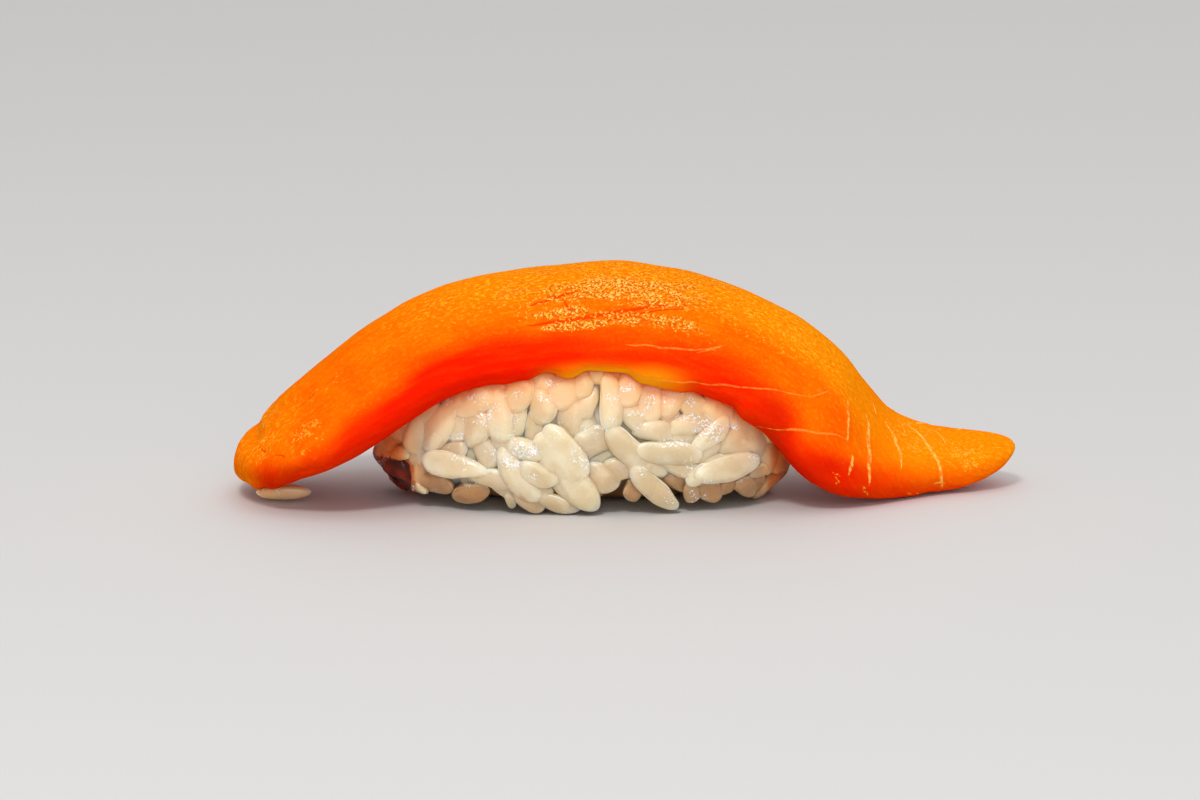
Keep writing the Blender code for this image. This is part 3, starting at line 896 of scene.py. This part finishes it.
def grain_skins(grains, rings, sides, seed):
    """The grains' skins: (grain, point, 3), ring by ring and then the two end points.

    A grain's radius along it, with t from -1 to 1, is half its width times (1 - |t|^2.5)^0.55,
    fuller at one end. Its section is a flat squared circle, pressed to soft facets by its
    neighbours and rolled a little. Its middle line bows as 1 - t^2, and noise makes it uneven.
    """
    rng = np.random.default_rng(seed)
    count = len(grains.length)

    def draw(low, high):
        return rng.uniform(low, high, count)[:, None, None]

    bow, taper, roll = draw(-0.45, 0.45), draw(-0.24, 0.24), draw(-0.22, 0.22)
    flat, facet, pressed = draw(0.56, 0.70), draw(0, 2 * np.pi), draw(0.01, 0.05)
    t = -np.cos(np.pi * np.arange(1, rings + 1) / (rings + 1))[None, :, None]
    turn = (2 * np.pi * np.arange(sides) / sides)[None, None, :]
    radius = grains.width[:, None, None] / 2 * (1 - np.abs(t) ** 2.5) ** 0.55 * (1 + taper * t)
    radius = radius * (1 + pressed * (np.cos(2 * turn + facet) + np.cos(3 * turn - facet + t)))
    side = unit(np.cross(grains.out, grains.axis))
    up = np.cross(grains.axis, side)
    wide = radius * squared(np.cos(turn), GRAIN_SQUARENESS)
    high = flat * radius * squared(np.sin(turn), GRAIN_SQUARENESS)
    along = grains.length[:, None, None] / 2 * t + 0 * turn
    across = wide * np.cos(roll) - high * np.sin(roll) + bow * (1 - t**2)
    lift = wide * np.sin(roll) + high * np.cos(roll)
    parts = zip((along, across, lift), (grains.axis, side, up))
    skin = sum(part[..., None] * way[:, None, None] for part, way in parts)
    half = grains.length[:, None, None] / 2 * grains.axis[:, None]
    ends = np.stack([-1, 1])[None, :, None] * half
    local = np.concatenate([skin.reshape(count, -1, 3), ends], axis=1)
    points = grains.middle[:, None] + pressed_flat(local, grains, rng)
    uneven = np.stack([value_noise(points, 2.0, seed + k) for k in range(3)], axis=-1)
    return points + SKIN_UNEVENNESS * uneven


def welded(batches):
    """All the grains joined into one skin where they press into each other, by a union."""
    helpers = bpy.data.collections.new("loose_grains")
    loose = []
    for grains, rings, sides, seed in batches:
        faces = tube_faces(rings, sides)
        for skin in grain_skins(grains, rings, sides, seed):
            skin[:, 2] = np.maximum(skin[:, 2], ABOVE_TABLE)
            mesh = bpy.data.meshes.new("loose_grain")
            mesh.from_pydata(skin.tolist(), [], faces)
            loose.append(bpy.data.objects.new("loose_grain", mesh))
    first, rest = loose[0], loose[1:]
    bpy.context.scene.collection.objects.link(first)
    for grain in rest:
        helpers.objects.link(grain)
    if rest:
        union = first.modifiers.new("press", "BOOLEAN")
        union.operation = "UNION"
        union.operand_type = "COLLECTION"
        union.collection = helpers
        union.solver = "MANIFOLD"
    pressed = first.evaluated_get(bpy.context.evaluated_depsgraph_get())
    mesh = bpy.data.meshes.new_from_object(pressed)
    for grain in loose:
        bpy.data.objects.remove(grain)
    bpy.data.collections.remove(helpers)
    return mesh


def nearest_grain(points, grains):
    """For each point, the number of the grain it lies on and its place along it, 0 to 1.

    The grain is the one whose middle line is nearest, measured in the grain's own widths.
    The place is 0 at its middle and 1 at its ends.
    """
    number, place = np.zeros(len(points), int), np.zeros(len(points))
    best = np.full(len(points), np.inf)
    for k in range(len(grains.length)):
        offset = points - grains.middle[k]
        along = offset @ grains.axis[k]
        half = (grains.length[k] - grains.width[k]) / 2
        away = offset - np.clip(along, -half, half)[:, None] * grains.axis[k]
        distance = np.linalg.norm(away, axis=1) / grains.width[k]
        closer = distance < best
        best = np.where(closer, distance, best)
        number = np.where(closer, k, number)
        place = np.where(closer, np.abs(along) / (grains.length[k] / 2), place)
    return number, np.clip(place, 0, 1)


def glitter(points):
    """Where painted glints of wet starch lie: patches of the front view, and others spread by noise.
    """
    eye, right, up, forward = camera_axes()
    sight = points - eye
    closer = CAMERA_DISTANCE / (sight @ forward)
    x = AIM[0] + (sight @ right) * closer
    height = AIM[2] * math.cos(math.radians(CAMERA_TILT_DEG)) + (sight @ up) * closer
    total = patches(GLINTS, x, height) * rise(points[:, 1], -2.0, -2.0)
    elsewhere = smooth((value_noise(points, 1.8, 71) - 0.35) / 0.3)
    elsewhere *= 0.5 + 0.3 * rise(points[:, 1], -3.0, 3.0)
    return np.maximum(total, elsewhere)


def fish_stain_and_light(points, ceiling):
    """How the fish tints the rice, with its juice and with painted light bounced off the slice: some
    against the slice, most at the two ends, with painted shade at the left end.
    """
    over = ceiling.over(points)
    under = np.where(np.isfinite(over), over - points[..., 2], 9.0)
    x, z = points[..., 0], points[..., 2]
    touching = 0.30 * smooth(1 - under / 7.5) + 0.08 * rise(z, 9.0, 6.0)
    touching += 0.16 * smooth(1 - under / 2.2)
    left = 0.62 * rise(x, -22.0, -4.0) * rise(x, -33.0, 3.0)
    # The left end under the slice, dark with juice and painted shade.
    soaked_and_shaded = 0.8 * rise(x, -23.0, -2.4) * rise(z, 6.0, -1.8) * rise(x, -33.0, 3.0)
    right = 0.68 * rise(x, 14.8, 2.4)
    return np.clip(np.maximum(touching, np.maximum(left + soaked_and_shaded, right)), 0, 1)


def shade_of(points):
    """How deep between the grains each point lies: painted shade makes those places brown.

    The depth under the mound's skin is (1 - level) over how fast the level grows. It
    counts more at the foot.
    """
    _, growth = dome_way(points, 0.0)
    depth = (1 - dome_level(points, 0.0)) / np.maximum(growth, 0.02)
    foot = rise(points[..., 2], 3.4, -2.6)
    return np.clip(smooth((depth - 1.2 + 1.2 * foot) / 2.2) * (0.3 + 0.7 * foot), 0, 1)


def read_points(mesh, kind):
    """The co or the normal of every point of a mesh."""
    flat = np.empty(3 * len(mesh.vertices))
    mesh.vertices.foreach_get(kind, flat)
    return flat.reshape(-1, 3)


def make_grains(batches, name, material, ceiling, centring):
    """One piece out of several batches of grains, each (grains, rings, sides, seed)."""
    mesh = welded(batches)
    grains = batches[0][0]
    for more, *_ in batches[1:]:
        grains = grains.joined(more)
    points = read_points(mesh, "co")
    number, place = nearest_grain(points, grains)
    facing = (read_points(mesh, "normal") * grains.out[number]).sum(axis=1)
    tones = np.random.default_rng(GRAIN_SEED).uniform(0, 1, len(grains.length))
    values = {
        "tone": tones[number],
        # The place along the grain: its ends get painted light.
        "tip": place,
        # Where each grain turns away: a painted highlight line there.
        "rim": smooth(1.0 - np.abs(facing - 0.46) / 0.32),
        # The fish's tint: partly juice, partly painted light bounced off the slice.
        "stain": fish_stain_and_light(points, ceiling),
        # Painted shade: brown between the grains and at the foot.
        "shade": np.maximum(grains.tan[number], 0.6 * shade_of(points)),
        # Where glints are painted, with more coat gloss.
        "glint": glitter(points),
    }
    mesh.vertices.foreach_set("co", ((points + centring) * MM).ravel())
    piece = finish_piece(name, mesh, material, values)
    mesh.set_sharp_from_angle(angle=math.radians(CREASE_DEG))
    return piece


def make_core(material, ceiling, centring):
    """The pressed rice behind the separate grains: the mound drawn in, and lumpy.

    It is drawn in further at the foot, for the dark hollows under the mound, and towards
    the back.
    """
    lowest = -math.asin(min(1.0, (RICE_WAIST / RICE_DEPTH) ** (DOME_SQUARENESS / 2)))
    climb = np.linspace(lowest, np.pi / 2, CORE_ROWS)[:, None]
    plan = np.linspace(0, 2 * np.pi, CORE_COLUMNS, endpoint=False)
    reach = squared(np.cos(climb), DOME_SQUARENESS)
    height = np.where(climb < 0, RICE_DEPTH, RICE_RISE - CORE_INSET)
    along = (RICE_HALF_LENGTH - CORE_INSET) * squared(np.cos(plan), PLAN_SQUARENESS)
    across = (RICE_HALF_WIDTH - CORE_INSET) * squared(np.sin(plan), PLAN_SQUARENESS)
    points = np.empty((CORE_ROWS, CORE_COLUMNS, 3))
    points[..., 0] = RICE_CENTRE_X + reach * along
    points[..., 1] = reach * across
    points[..., 2] = RICE_WAIST + height * squared(np.sin(climb), DOME_SQUARENESS)
    lumps = 0.4 * value_noise(points, 2.6, 61) + 0.25 * value_noise(points, 1.3, 62)
    lumps -= CORE_UNDERCUT * rise(points[..., 2], 4.4, -3.0)
    lumps -= 0.75 * rise(points[..., 1], -4.0, 3.0)
    points += lumps[..., None] * unit(points - np.array([RICE_CENTRE_X, 0, RICE_WAIST]))
    limit = ceiling.over(points) - 0.8
    points[..., 2] = np.clip(points[..., 2], CORE_FLOOR, np.where(np.isfinite(limit), limit, 99))
    points[0, :, 2] = CORE_FLOOR
    rings, poles = points[:-1], points[[0, -1]].mean(axis=1)
    flat = np.concatenate([rings.reshape(-1, 3), poles])
    values = dict.fromkeys(("tip", "rim", "glint"), np.zeros(len(flat)))
    values["tone"] = np.full(len(flat), 0.4)
    values["stain"] = fish_stain_and_light(flat, ceiling)
    # Painted shade on the core, most at the foot.
    values["shade"] = np.clip(0.1 + 0.9 * shade_of(flat), 0, 1)
    piece = add_piece("rice_core", rings, poles, centring, material, values)
    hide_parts("rice")
    return piece


# ================================================================== materials
class Nodes:
    """A shader node tree and short ways to add nodes to it."""

    def __init__(self, tree):
        self.tree = tree

    def feed(self, socket, value):
        """Gives a socket another node's output, or a value of its own."""
        if isinstance(value, bpy.types.NodeSocket):
            self.tree.links.new(value, socket)
        else:
            socket.default_value = value

    def fill(self, node, inputs):
        """Feeds a node's inputs by the names of their sockets."""
        for name, value in inputs.items():
            self.feed(node.inputs[name.replace("_", " ")], value)

    def node(self, kind, settings=None, **inputs):
        node = self.tree.nodes.new("ShaderNode" + kind)
        for key, value in (settings or {}).items():
            setattr(node, key, value)
        self.fill(node, inputs)
        return node

    def maths(self, operation, *values, kind="Math"):
        node = self.node(kind, {"operation": operation})
        for socket, value in zip(node.inputs, values):
            self.feed(socket, value)
        return node.outputs[0]

    def times(self, total, *values):
        for value in values:
            total = self.maths("MULTIPLY", total, value)
        return total

    def spread(self, value, low, high, to_low=0.0, to_high=1.0):
        """The value's stretch from low to high, spread smoothly over another."""
        stretch = {"From Min": low, "From Max": high, "To Min": to_low, "To Max": to_high}
        node = self.node("MapRange", {"interpolation_type": "SMOOTHSTEP"}, Value=value, **stretch)
        return node.outputs["Result"]

    def noise(self, where, scale, detail, stretch=(1, 1, 1), **more):
        """Noise with so many waves to each unit of the coordinates."""
        place = self.node("Mapping", Vector=where, Scale=stretch).outputs[0]
        return self.node("TexNoise", Vector=place, Scale=scale, Detail=detail, **more).outputs["Fac"]

    def mix(self, share, first, second):
        """Two colours mixed by a share."""
        node = self.node("Mix", {"data_type": "RGBA"}, Factor=share)
        self.feed(node.inputs[6], first)
        self.feed(node.inputs[7], second)
        return node.outputs[2]


class Finish(Nodes):
    """A material whose base colour is painted on in layers."""

    def __init__(self, name, base):
        self.material = bpy.data.materials.new(name)
        self.material.use_nodes = True
        super().__init__(self.material.node_tree)
        self.base = base

    def value(self, name):
        """A value that the piece carries at each point."""
        return self.node("Attribute", {"attribute_name": name}).outputs["Fac"]

    def paint(self, colour, *masks):
        """Lays a colour over what is there, where all the masks are high."""
        self.base = self.mix(self.times(*masks), self.base, colour)

    def wet(self, group, where, **sizes):
        """The roughness and the fine height of a wet skin."""
        node = self.node("Group", {"node_tree": group}, Vector=where, **sizes)
        return node.outputs["Roughness"], node.outputs["Height"]

    def relief(self, height, strength, depth):
        return self.node("Bump", Height=height, Strength=strength, Distance=depth).outputs["Normal"]

    def done(self, **inputs):
        """The material, once its shader has its base colour and the inputs given."""
        self.fill(self.tree.nodes["Principled BSDF"], {"Base Color": self.base, **inputs})
        return self.material


def new_group(name, numbers, results):
    """A shader group that takes a vector and numbers, with the sockets it reads and writes."""
    group = bpy.data.node_groups.new(name, "ShaderNodeTree")
    face = group.interface
    face.new_socket("Vector", in_out="INPUT", socket_type="NodeSocketVector")
    for label, default in numbers.items():
        socket = face.new_socket(label, in_out="INPUT", socket_type="NodeSocketFloat")
        socket.default_value = default
    for label in results:
        face.new_socket(label, in_out="OUTPUT", socket_type="NodeSocketFloat")
    entry, leave = group.nodes.new("NodeGroupInput"), group.nodes.new("NodeGroupOutput")
    return Nodes(group), entry.outputs, leave.inputs


def wet_skin_group():
    """Shader group for a wet surface: broken gloss and a fine uneven height.

    The height adds fine ripples to small pits. The gloss wanders between two roughnesses
    with a slow noise, so that highlights break up into specks.
    """
    numbers = {"Ripple Scale": 1.5, "Pit Scale": 4.0, "Dry": 0.45, "Wet": 0.2}
    group, entry, leave = new_group("wet_skin", numbers, ("Roughness", "Height"))
    where, wide, fine = entry["Vector"], entry["Ripple Scale"], entry["Pit Scale"]
    ripple = group.node("TexNoise", Vector=where, Scale=wide, Detail=1.0).outputs["Fac"]
    pits = group.node("TexNoise", Vector=where, Scale=fine, Detail=3.0, Roughness=0.6).outputs["Fac"]
    drift = group.node("TexNoise", Vector=where, Scale=wide, Detail=2.0).outputs["Fac"]
    group.feed(leave["Height"], group.maths("MULTIPLY_ADD", pits, 0.45, ripple))
    group.feed(leave["Roughness"], group.spread(drift, 0.38, 0.62, entry["Dry"], entry["Wet"]))
    return group.tree


def skin_line_group():
    """Shader group: how strongly a place is marked by one line of the skin.

    The vector is the place seen from the line: x runs from 0 at its start to 1 at its end,
    and y is how far beside it, in millimetres. The line bows sideways by the arch
    4x(1 - x), and its width tapers with the arch's root.
    """
    group, entry, leave = new_group("skin_line", {"Bow": 0.0, "Half Width": 0.0}, ("Mask",))
    maths = group.maths
    parts = group.node("SeparateXYZ", Vector=entry["Vector"]).outputs
    along = parts["X"]
    arch = maths("MAXIMUM", group.times(along, maths("SUBTRACT", 1.0, along), 4.0), 0.0)
    off = maths("ABSOLUTE", maths("SUBTRACT", parts["Y"], group.times(arch, entry["Bow"])))
    reach = maths("MULTIPLY_ADD", maths("SQRT", arch), entry["Half Width"], 0.0001)
    group.feed(leave["Mask"], group.spread(maths("DIVIDE", off, reach), 0.25, 1.0, 1.0, 0.0))
    return group.tree


def near_skin(finish, skin, length):
    """The skin map with the far side laid over the near side, as from_far does."""
    parts = finish.node("SeparateXYZ", Vector=skin).outputs
    far = finish.maths("GREATER_THAN", parts["Y"], FAR_FROM)
    moved = finish.maths("MULTIPLY_ADD", far, -FAR_MOVE * length, parts["X"])
    turned = finish.maths("MULTIPLY_ADD", far, -1 - 1 / FAR_DRAW_IN, 1.0)
    drawn = finish.times(parts["Y"], turned)
    return finish.node("CombineXYZ", X=moved, Y=drawn).outputs[0]


def draw_lines(finish, group, where, lines, length):
    """The strongest mark that any of the lines leaves on a place of the skin map."""
    strongest = 0.0
    for (start, start_side), (end, end_side), bow, half_width in lines:
        way = ((end - start) * length, end_side - start_side)
        seen = finish.node(
            "Mapping",
            {"vector_type": "TEXTURE"},
            Vector=where,
            Location=(start * length, start_side, 0.0),
            Rotation=(0.0, 0.0, math.atan2(way[1], way[0])),
            Scale=(math.hypot(*way), 1.0, 1.0),
        )
        sizes = {"Vector": seen.outputs[0], "Bow": bow, "Half Width": half_width}
        mark = finish.node("Group", {"node_tree": group}, **sizes)
        strongest = finish.maths("MAXIMUM", strongest, mark.outputs["Mask"])
    return strongest


def salmon_finish(wet_skin, length):
    """Raw salmon: orange, golden on top, deep red down the sides, partly painted light and shade;
    fat lines; painted highlight flecks.
    """
    finish = Finish("salmon_flesh", SALMON_ORANGE)
    value, spread, noise = finish.value, finish.spread, finish.noise
    paint, times, maths = finish.paint, finish.times, finish.maths
    skin = finish.node("UVMap", {"uv_map": "skin"}).outputs["UV"]
    place = finish.node("TexCoord").outputs["Object"]

    fibres = noise(skin, 1.1, 3, (0.16, 1, 1), Distortion=0.3)
    grit = noise(skin, 2.3, 2, (0.7, 1, 1), Roughness=0.7)
    crown = value("crown")
    paint(SALMON_LIGHT, spread(noise(place, 240, 3), 0.36, 0.66))
    paint(SALMON_GOLD, spread(fibres, 0.45, 0.75, 0, 0.35))
    # Painted light: the shoulder's and the tail's tops painted lighter golden.
    paint(SHOULDER_LIT_GOLD, value("gold"), 0.75)
    # The crown painted lighter golden, partly painted light; pale specks are painted highlights,
    # brown specks painted shade in pits.
    paint(CROWN_LIT_GOLD, crown, 0.55)
    paint(CROWN_HIGHLIGHT, spread(grit, 0.52, 0.66), maths("ADD", crown, 0.25), 0.75)
    paint(CROWN_PIT_SHADE, spread(grit, 0.44, 0.34), maths("ADD", crown, 0.2), 0.42)
    # Deep red down the sides: the flesh's own red, partly painted shade where they face down.
    paint(DEEP_RED_AND_SHADE, value("deep"), spread(fibres, 0.2, 0.7, 1.1, 0.94))
    # Painted shade: darker red along the very edge, under the slice and by the rice.
    paint(UNDER_SHADE_RED, value("under"))
    # Painted light: a golden glow along the lower edge over the rice, as light comes through the
    # thin flesh.
    paint(RIM_GLOW_GOLD, value("rim"), 0.85)

    # The lines waver a little: the skin map is swayed before they are drawn on it.
    wobble = finish.node("TexNoise", Vector=skin, Scale=0.45, Detail=0.5).outputs["Color"]
    sway = maths("MULTIPLY_ADD", wobble, (0.5, 0.5, 0), (-0.25, -0.25, 0), kind="VectorMath")
    where = maths("ADD", near_skin(finish, skin, length), sway, kind="VectorMath")
    lines = skin_line_group()
    groove = draw_lines(finish, lines, where, GROOVES, length)
    ledge = draw_lines(finish, lines, where, LEDGES, length)
    fat = draw_lines(finish, lines, where, FAT_LINES, length)
    broken = spread(noise(skin, 1.3, 3, Roughness=0.6), 0.36, 0.6, 0.35, 1.0)
    dotted = spread(noise(skin, 1.6, 2), 0.40, 0.56, 0.15, 1.0)

    # Flecks are painted highlights: the middles of some uneven cells, and the cells' borders show as
    # gaps of painted shade.
    drift = noise(skin, 0.6, 2, (0.5, 1, 1))
    density = times(value("fleck"), spread(drift, 0.3, 0.65, 0.5, 1.15))
    shaken = finish.node("TexNoise", Vector=skin, Scale=1.7, Detail=1.0).outputs["Color"]
    shake = maths("MULTIPLY_ADD", shaken, (0.9, 0.9, 0), skin, kind="VectorMath")
    cells = finish.node("TexVoronoi", {"voronoi_dimensions": "2D"}, Vector=shake, Scale=3.1)
    cell = cells.outputs["Distance"]
    luck = maths("SUBTRACT", cells.outputs["Color"], maths("MULTIPLY_ADD", density, -0.86, 1.08))
    golden = times(spread(luck, -0.05, 0.05), spread(cell, 0.52, 0.34))
    strong = spread(value("fleck"), 0.5, 0.8, 0.25, 1.0)
    pale = times(spread(luck, 0.06, 0.3), spread(cell, 0.32, 0.18), strong)
    crackle = value("crackle")
    # Where the skin crackles: painted golden highlights, and painted shade at the cells' borders.
    paint(FLECK_HIGHLIGHT_GOLD, spread(density, 0.3, 1.0, 0, 0.4), crackle)
    paint(FLECK_GAP_SHADE, spread(cell, 0.34, 0.55), spread(density, 0.2, 0.8), crackle, 0.7)
    # Grooves painted red, partly as painted shade in the sunken lines.
    paint(GROOVE_RED_AND_SHADE, groove, 0.85)
    # Painted highlights along the steps in the flesh, broken up.
    paint(LEDGE_HIGHLIGHT, ledge, broken, 0.55)
    paint(FAT_PALE, fat, dotted, 0.9)
    paint(FLECK_HIGHLIGHT_GOLD, golden, 0.7)
    paint(FLECK_HIGHLIGHT_PALE, pale, 0.8)

    dryness, height = finish.wet(wet_skin, skin, Ripple_Scale=0.9, Pit_Scale=2.6, Dry=0.5, Wet=0.32)
    for mark, proud in ((fibres, 0.5), (golden, 0.5), (groove, -0.5)):
        height = maths("MULTIPLY_ADD", mark, proud, height)
    return finish.done(
        Roughness=dryness,
        Normal=finish.relief(height, 0.4, 0.00035),
        Coat_Weight=times(pale, 0.3),
        Coat_Roughness=0.2,
        Specular_IOR_Level=0.0,
        Subsurface_Weight=0.2,
        Subsurface_Radius=(1.0, 0.25, 0.05),
        Subsurface_Scale=0.0025,
    )


def rice_finish(wet_skin):
    """Cooked rice: pearly cream, glossy with starch, orange where it meets the fish, from its juice
    and from painted light bounced off it.
    """
    finish = Finish("cooked_rice", RICE_CREAM)
    value, spread = finish.value, finish.spread
    paint, times, maths = finish.paint, finish.times, finish.maths
    place = finish.node("TexCoord").outputs["Object"]
    clouds = finish.noise(place, 330, 2)
    shade, glint = value("shade"), value("glint")
    stain = times(value("stain"), spread(clouds, 0.3, 0.7, 0.86, 1.06))
    paint(RICE_DARKER, value("tone"))
    paint(RICE_LIGHT, spread(clouds, 0.4, 0.65, 0, 0.5))
    # Painted light: the grains' ends lighter, as light comes through them.
    paint(RICE_TIP_GLOW, spread(value("tip"), 0.5, 1.0, 0, 0.5))
    # Painted shade: brown deep between the grains and at the foot.
    paint(RICE_TAN_SHADE, shade)
    # Painted shade: near black in the deepest hollows at the foot.
    paint(RICE_DEEP_SHADE, spread(shade, 0.9, 1.0, 0, 0.9))
    # Pink and orange by the fish: partly juice, partly painted light bounced off it.
    paint(STAIN_BOUNCE_PINK, spread(stain, 0.0, 0.42, 0, 0.8))
    paint(STAIN_BOUNCE_ORANGE, spread(stain, 0.36, 0.64, 0, 0.9))
    # The left end under the slice: juice and painted shade, dark red to near black.
    soaked_and_shaded = finish.mix(spread(clouds, 0.42, 0.58), STAIN_SHADE_RED, STAIN_SHADE_DARK)
    paint(soaked_and_shaded, spread(stain, 0.72, 0.88, 0, 0.97))
    # Painted highlight: a light line where each grain turns away, less in the fish's tint and in the
    # shade.
    lit = spread(value("rim"), 0.4, 0.95, 0, 0.9)
    paint(RICE_RIM_HIGHLIGHT, lit, spread(stain, 0.3, 0.6, 1, 0.15), spread(shade, 0.3, 0.8, 1, 0.45))

    # Painted glints of wet starch: specks painted bright as highlights, painted shade in the hollows
    # between.
    glint_specks = finish.noise(place, 3900, 1, Distortion=0.6)
    shine = maths("SUBTRACT", glint_specks, maths("MULTIPLY_ADD", glint, -0.11, 0.645))
    sparks = times(spread(shine, 0.0, 0.05), spread(glint, 0.1, 0.5))
    paint(GLINT_HOLLOW_SHADE, spread(glint_specks, 0.48, 0.38), glint, 0.5)
    paint(GLINT_WHITE, sparks)

    gloss, height = finish.wet(wet_skin, place, Ripple_Scale=600, Pit_Scale=3200, Dry=0.42, Wet=0.22)
    dull = maths("MULTIPLY_ADD", stain, -0.25, 0.3)
    return finish.done(
        Roughness=maths("MULTIPLY_ADD", stain, 0.35, gloss),
        Normal=finish.relief(maths("MULTIPLY_ADD", sparks, 0.8, height), 0.5, 0.00025),
        Coat_Weight=maths("MULTIPLY_ADD", glint, 0.7, dull),
        Coat_Roughness=0.15,
        Specular_IOR_Level=0.4,
        Subsurface_Weight=1.0,
        Subsurface_Radius=(1.0, 0.8, 0.55),
        Subsurface_Scale=0.0024,
    )


# ================================================================== the studio
def add_table():
    """A plain pale table top."""
    half = TABLE_HALF
    mesh = bpy.data.meshes.new("table")
    corners = [(-half, -half, 0), (half, -half, 0), (half, half, 0), (-half, half, 0)]
    mesh.from_pydata(corners, [], [(0, 1, 2, 3)])
    finish = Finish("pale_table", TABLE_GREY)
    mesh.materials.append(finish.done(Roughness=0.7, Specular_IOR_Level=0.2))
    table = bpy.data.objects.new("table", mesh)
    bpy.context.scene.collection.objects.link(table)


def hang(name, light, azimuth, elevation, distance=0.0):
    """Hangs a light so that it faces the piece: azimuth 0 is straight in front of it."""
    lamp = bpy.data.objects.new(name, light)
    turn, climb = math.radians(azimuth), math.radians(elevation)
    flat = math.cos(climb)
    away = Vector((math.sin(turn) * flat, -math.cos(turn) * flat, math.sin(climb)))
    lamp.location = away * distance
    lamp.rotation_euler = away.to_track_quat("Z", "Y").to_euler()
    bpy.context.scene.collection.objects.link(lamp)


def light_studio():
    for name, azimuth, elevation, strength, softness in SUNS:
        sun = bpy.data.lights.new(name, "SUN")
        sun.energy = strength
        sun.angle = math.radians(softness)
        hang(name, sun, azimuth, elevation)
    panel = bpy.data.lights.new("sparkle", "AREA")
    panel.energy = 2.4
    panel.size = 0.12
    hang("sparkle", panel, -12, 48, 0.8)
    world = bpy.data.worlds.new("studio")
    world.use_nodes = True
    background = world.node_tree.nodes["Background"]
    background.inputs["Color"].default_value = (1, 1, 1, 1)
    background.inputs["Strength"].default_value = 0.46
    bpy.context.scene.world = world
    bpy.context.scene.view_settings.view_transform = "Standard"


def add_camera(centring):
    eye, _, _, _ = camera_axes()
    camera = bpy.data.cameras.new("front_view")
    camera.sensor_width = SENSOR_WIDTH
    camera.lens = SENSOR_WIDTH * CAMERA_DISTANCE / FRAME_WIDTH
    camera.clip_start = 0.01
    holder = bpy.data.objects.new("front_view", camera)
    holder.location = (eye + centring) * MM
    holder.rotation_euler = (math.pi / 2 - math.radians(CAMERA_TILT_DEG), 0, 0)
    bpy.context.scene.collection.objects.link(holder)
    bpy.context.scene.camera = holder


def make_stray(material, ceiling, centring):
    """The grain that has stuck under the blunt end."""
    turn = math.radians(STRAY_TURN_DEG)
    axis = (math.cos(turn), math.sin(turn), 0.0)
    kinds = (STRAY_MIDDLE, axis, (0.0, 0.0, 1.0), STRAY_LENGTH, STRAY_WIDTH, STRAY_TAN_AND_SHADE)
    grain = Grains(*(np.array([kind]) for kind in kinds))
    make_grains([(grain, *STRAY_MESH)], "stray_grain", material, ceiling, centring)


def main():
    wet_skin = wet_skin_group()
    length = spine_points(np.linspace(0, 1, 3))[3]
    salmon, rice = salmon_finish(wet_skin, length), rice_finish(wet_skin)
    rings, centring = make_slice(salmon)
    ceiling = Ceiling(rings)
    front, others = lay_grains(ceiling)
    batches = [(front, *FRONT_MESH), (others, *OTHER_MESH)]
    grains = make_grains(batches, "rice_grains", rice, ceiling, centring)
    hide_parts("rice")
    make_core(rice, ceiling, centring)
    make_stray(rice, ceiling, centring)
    add_table()
    light_studio()
    add_camera(centring)


main()
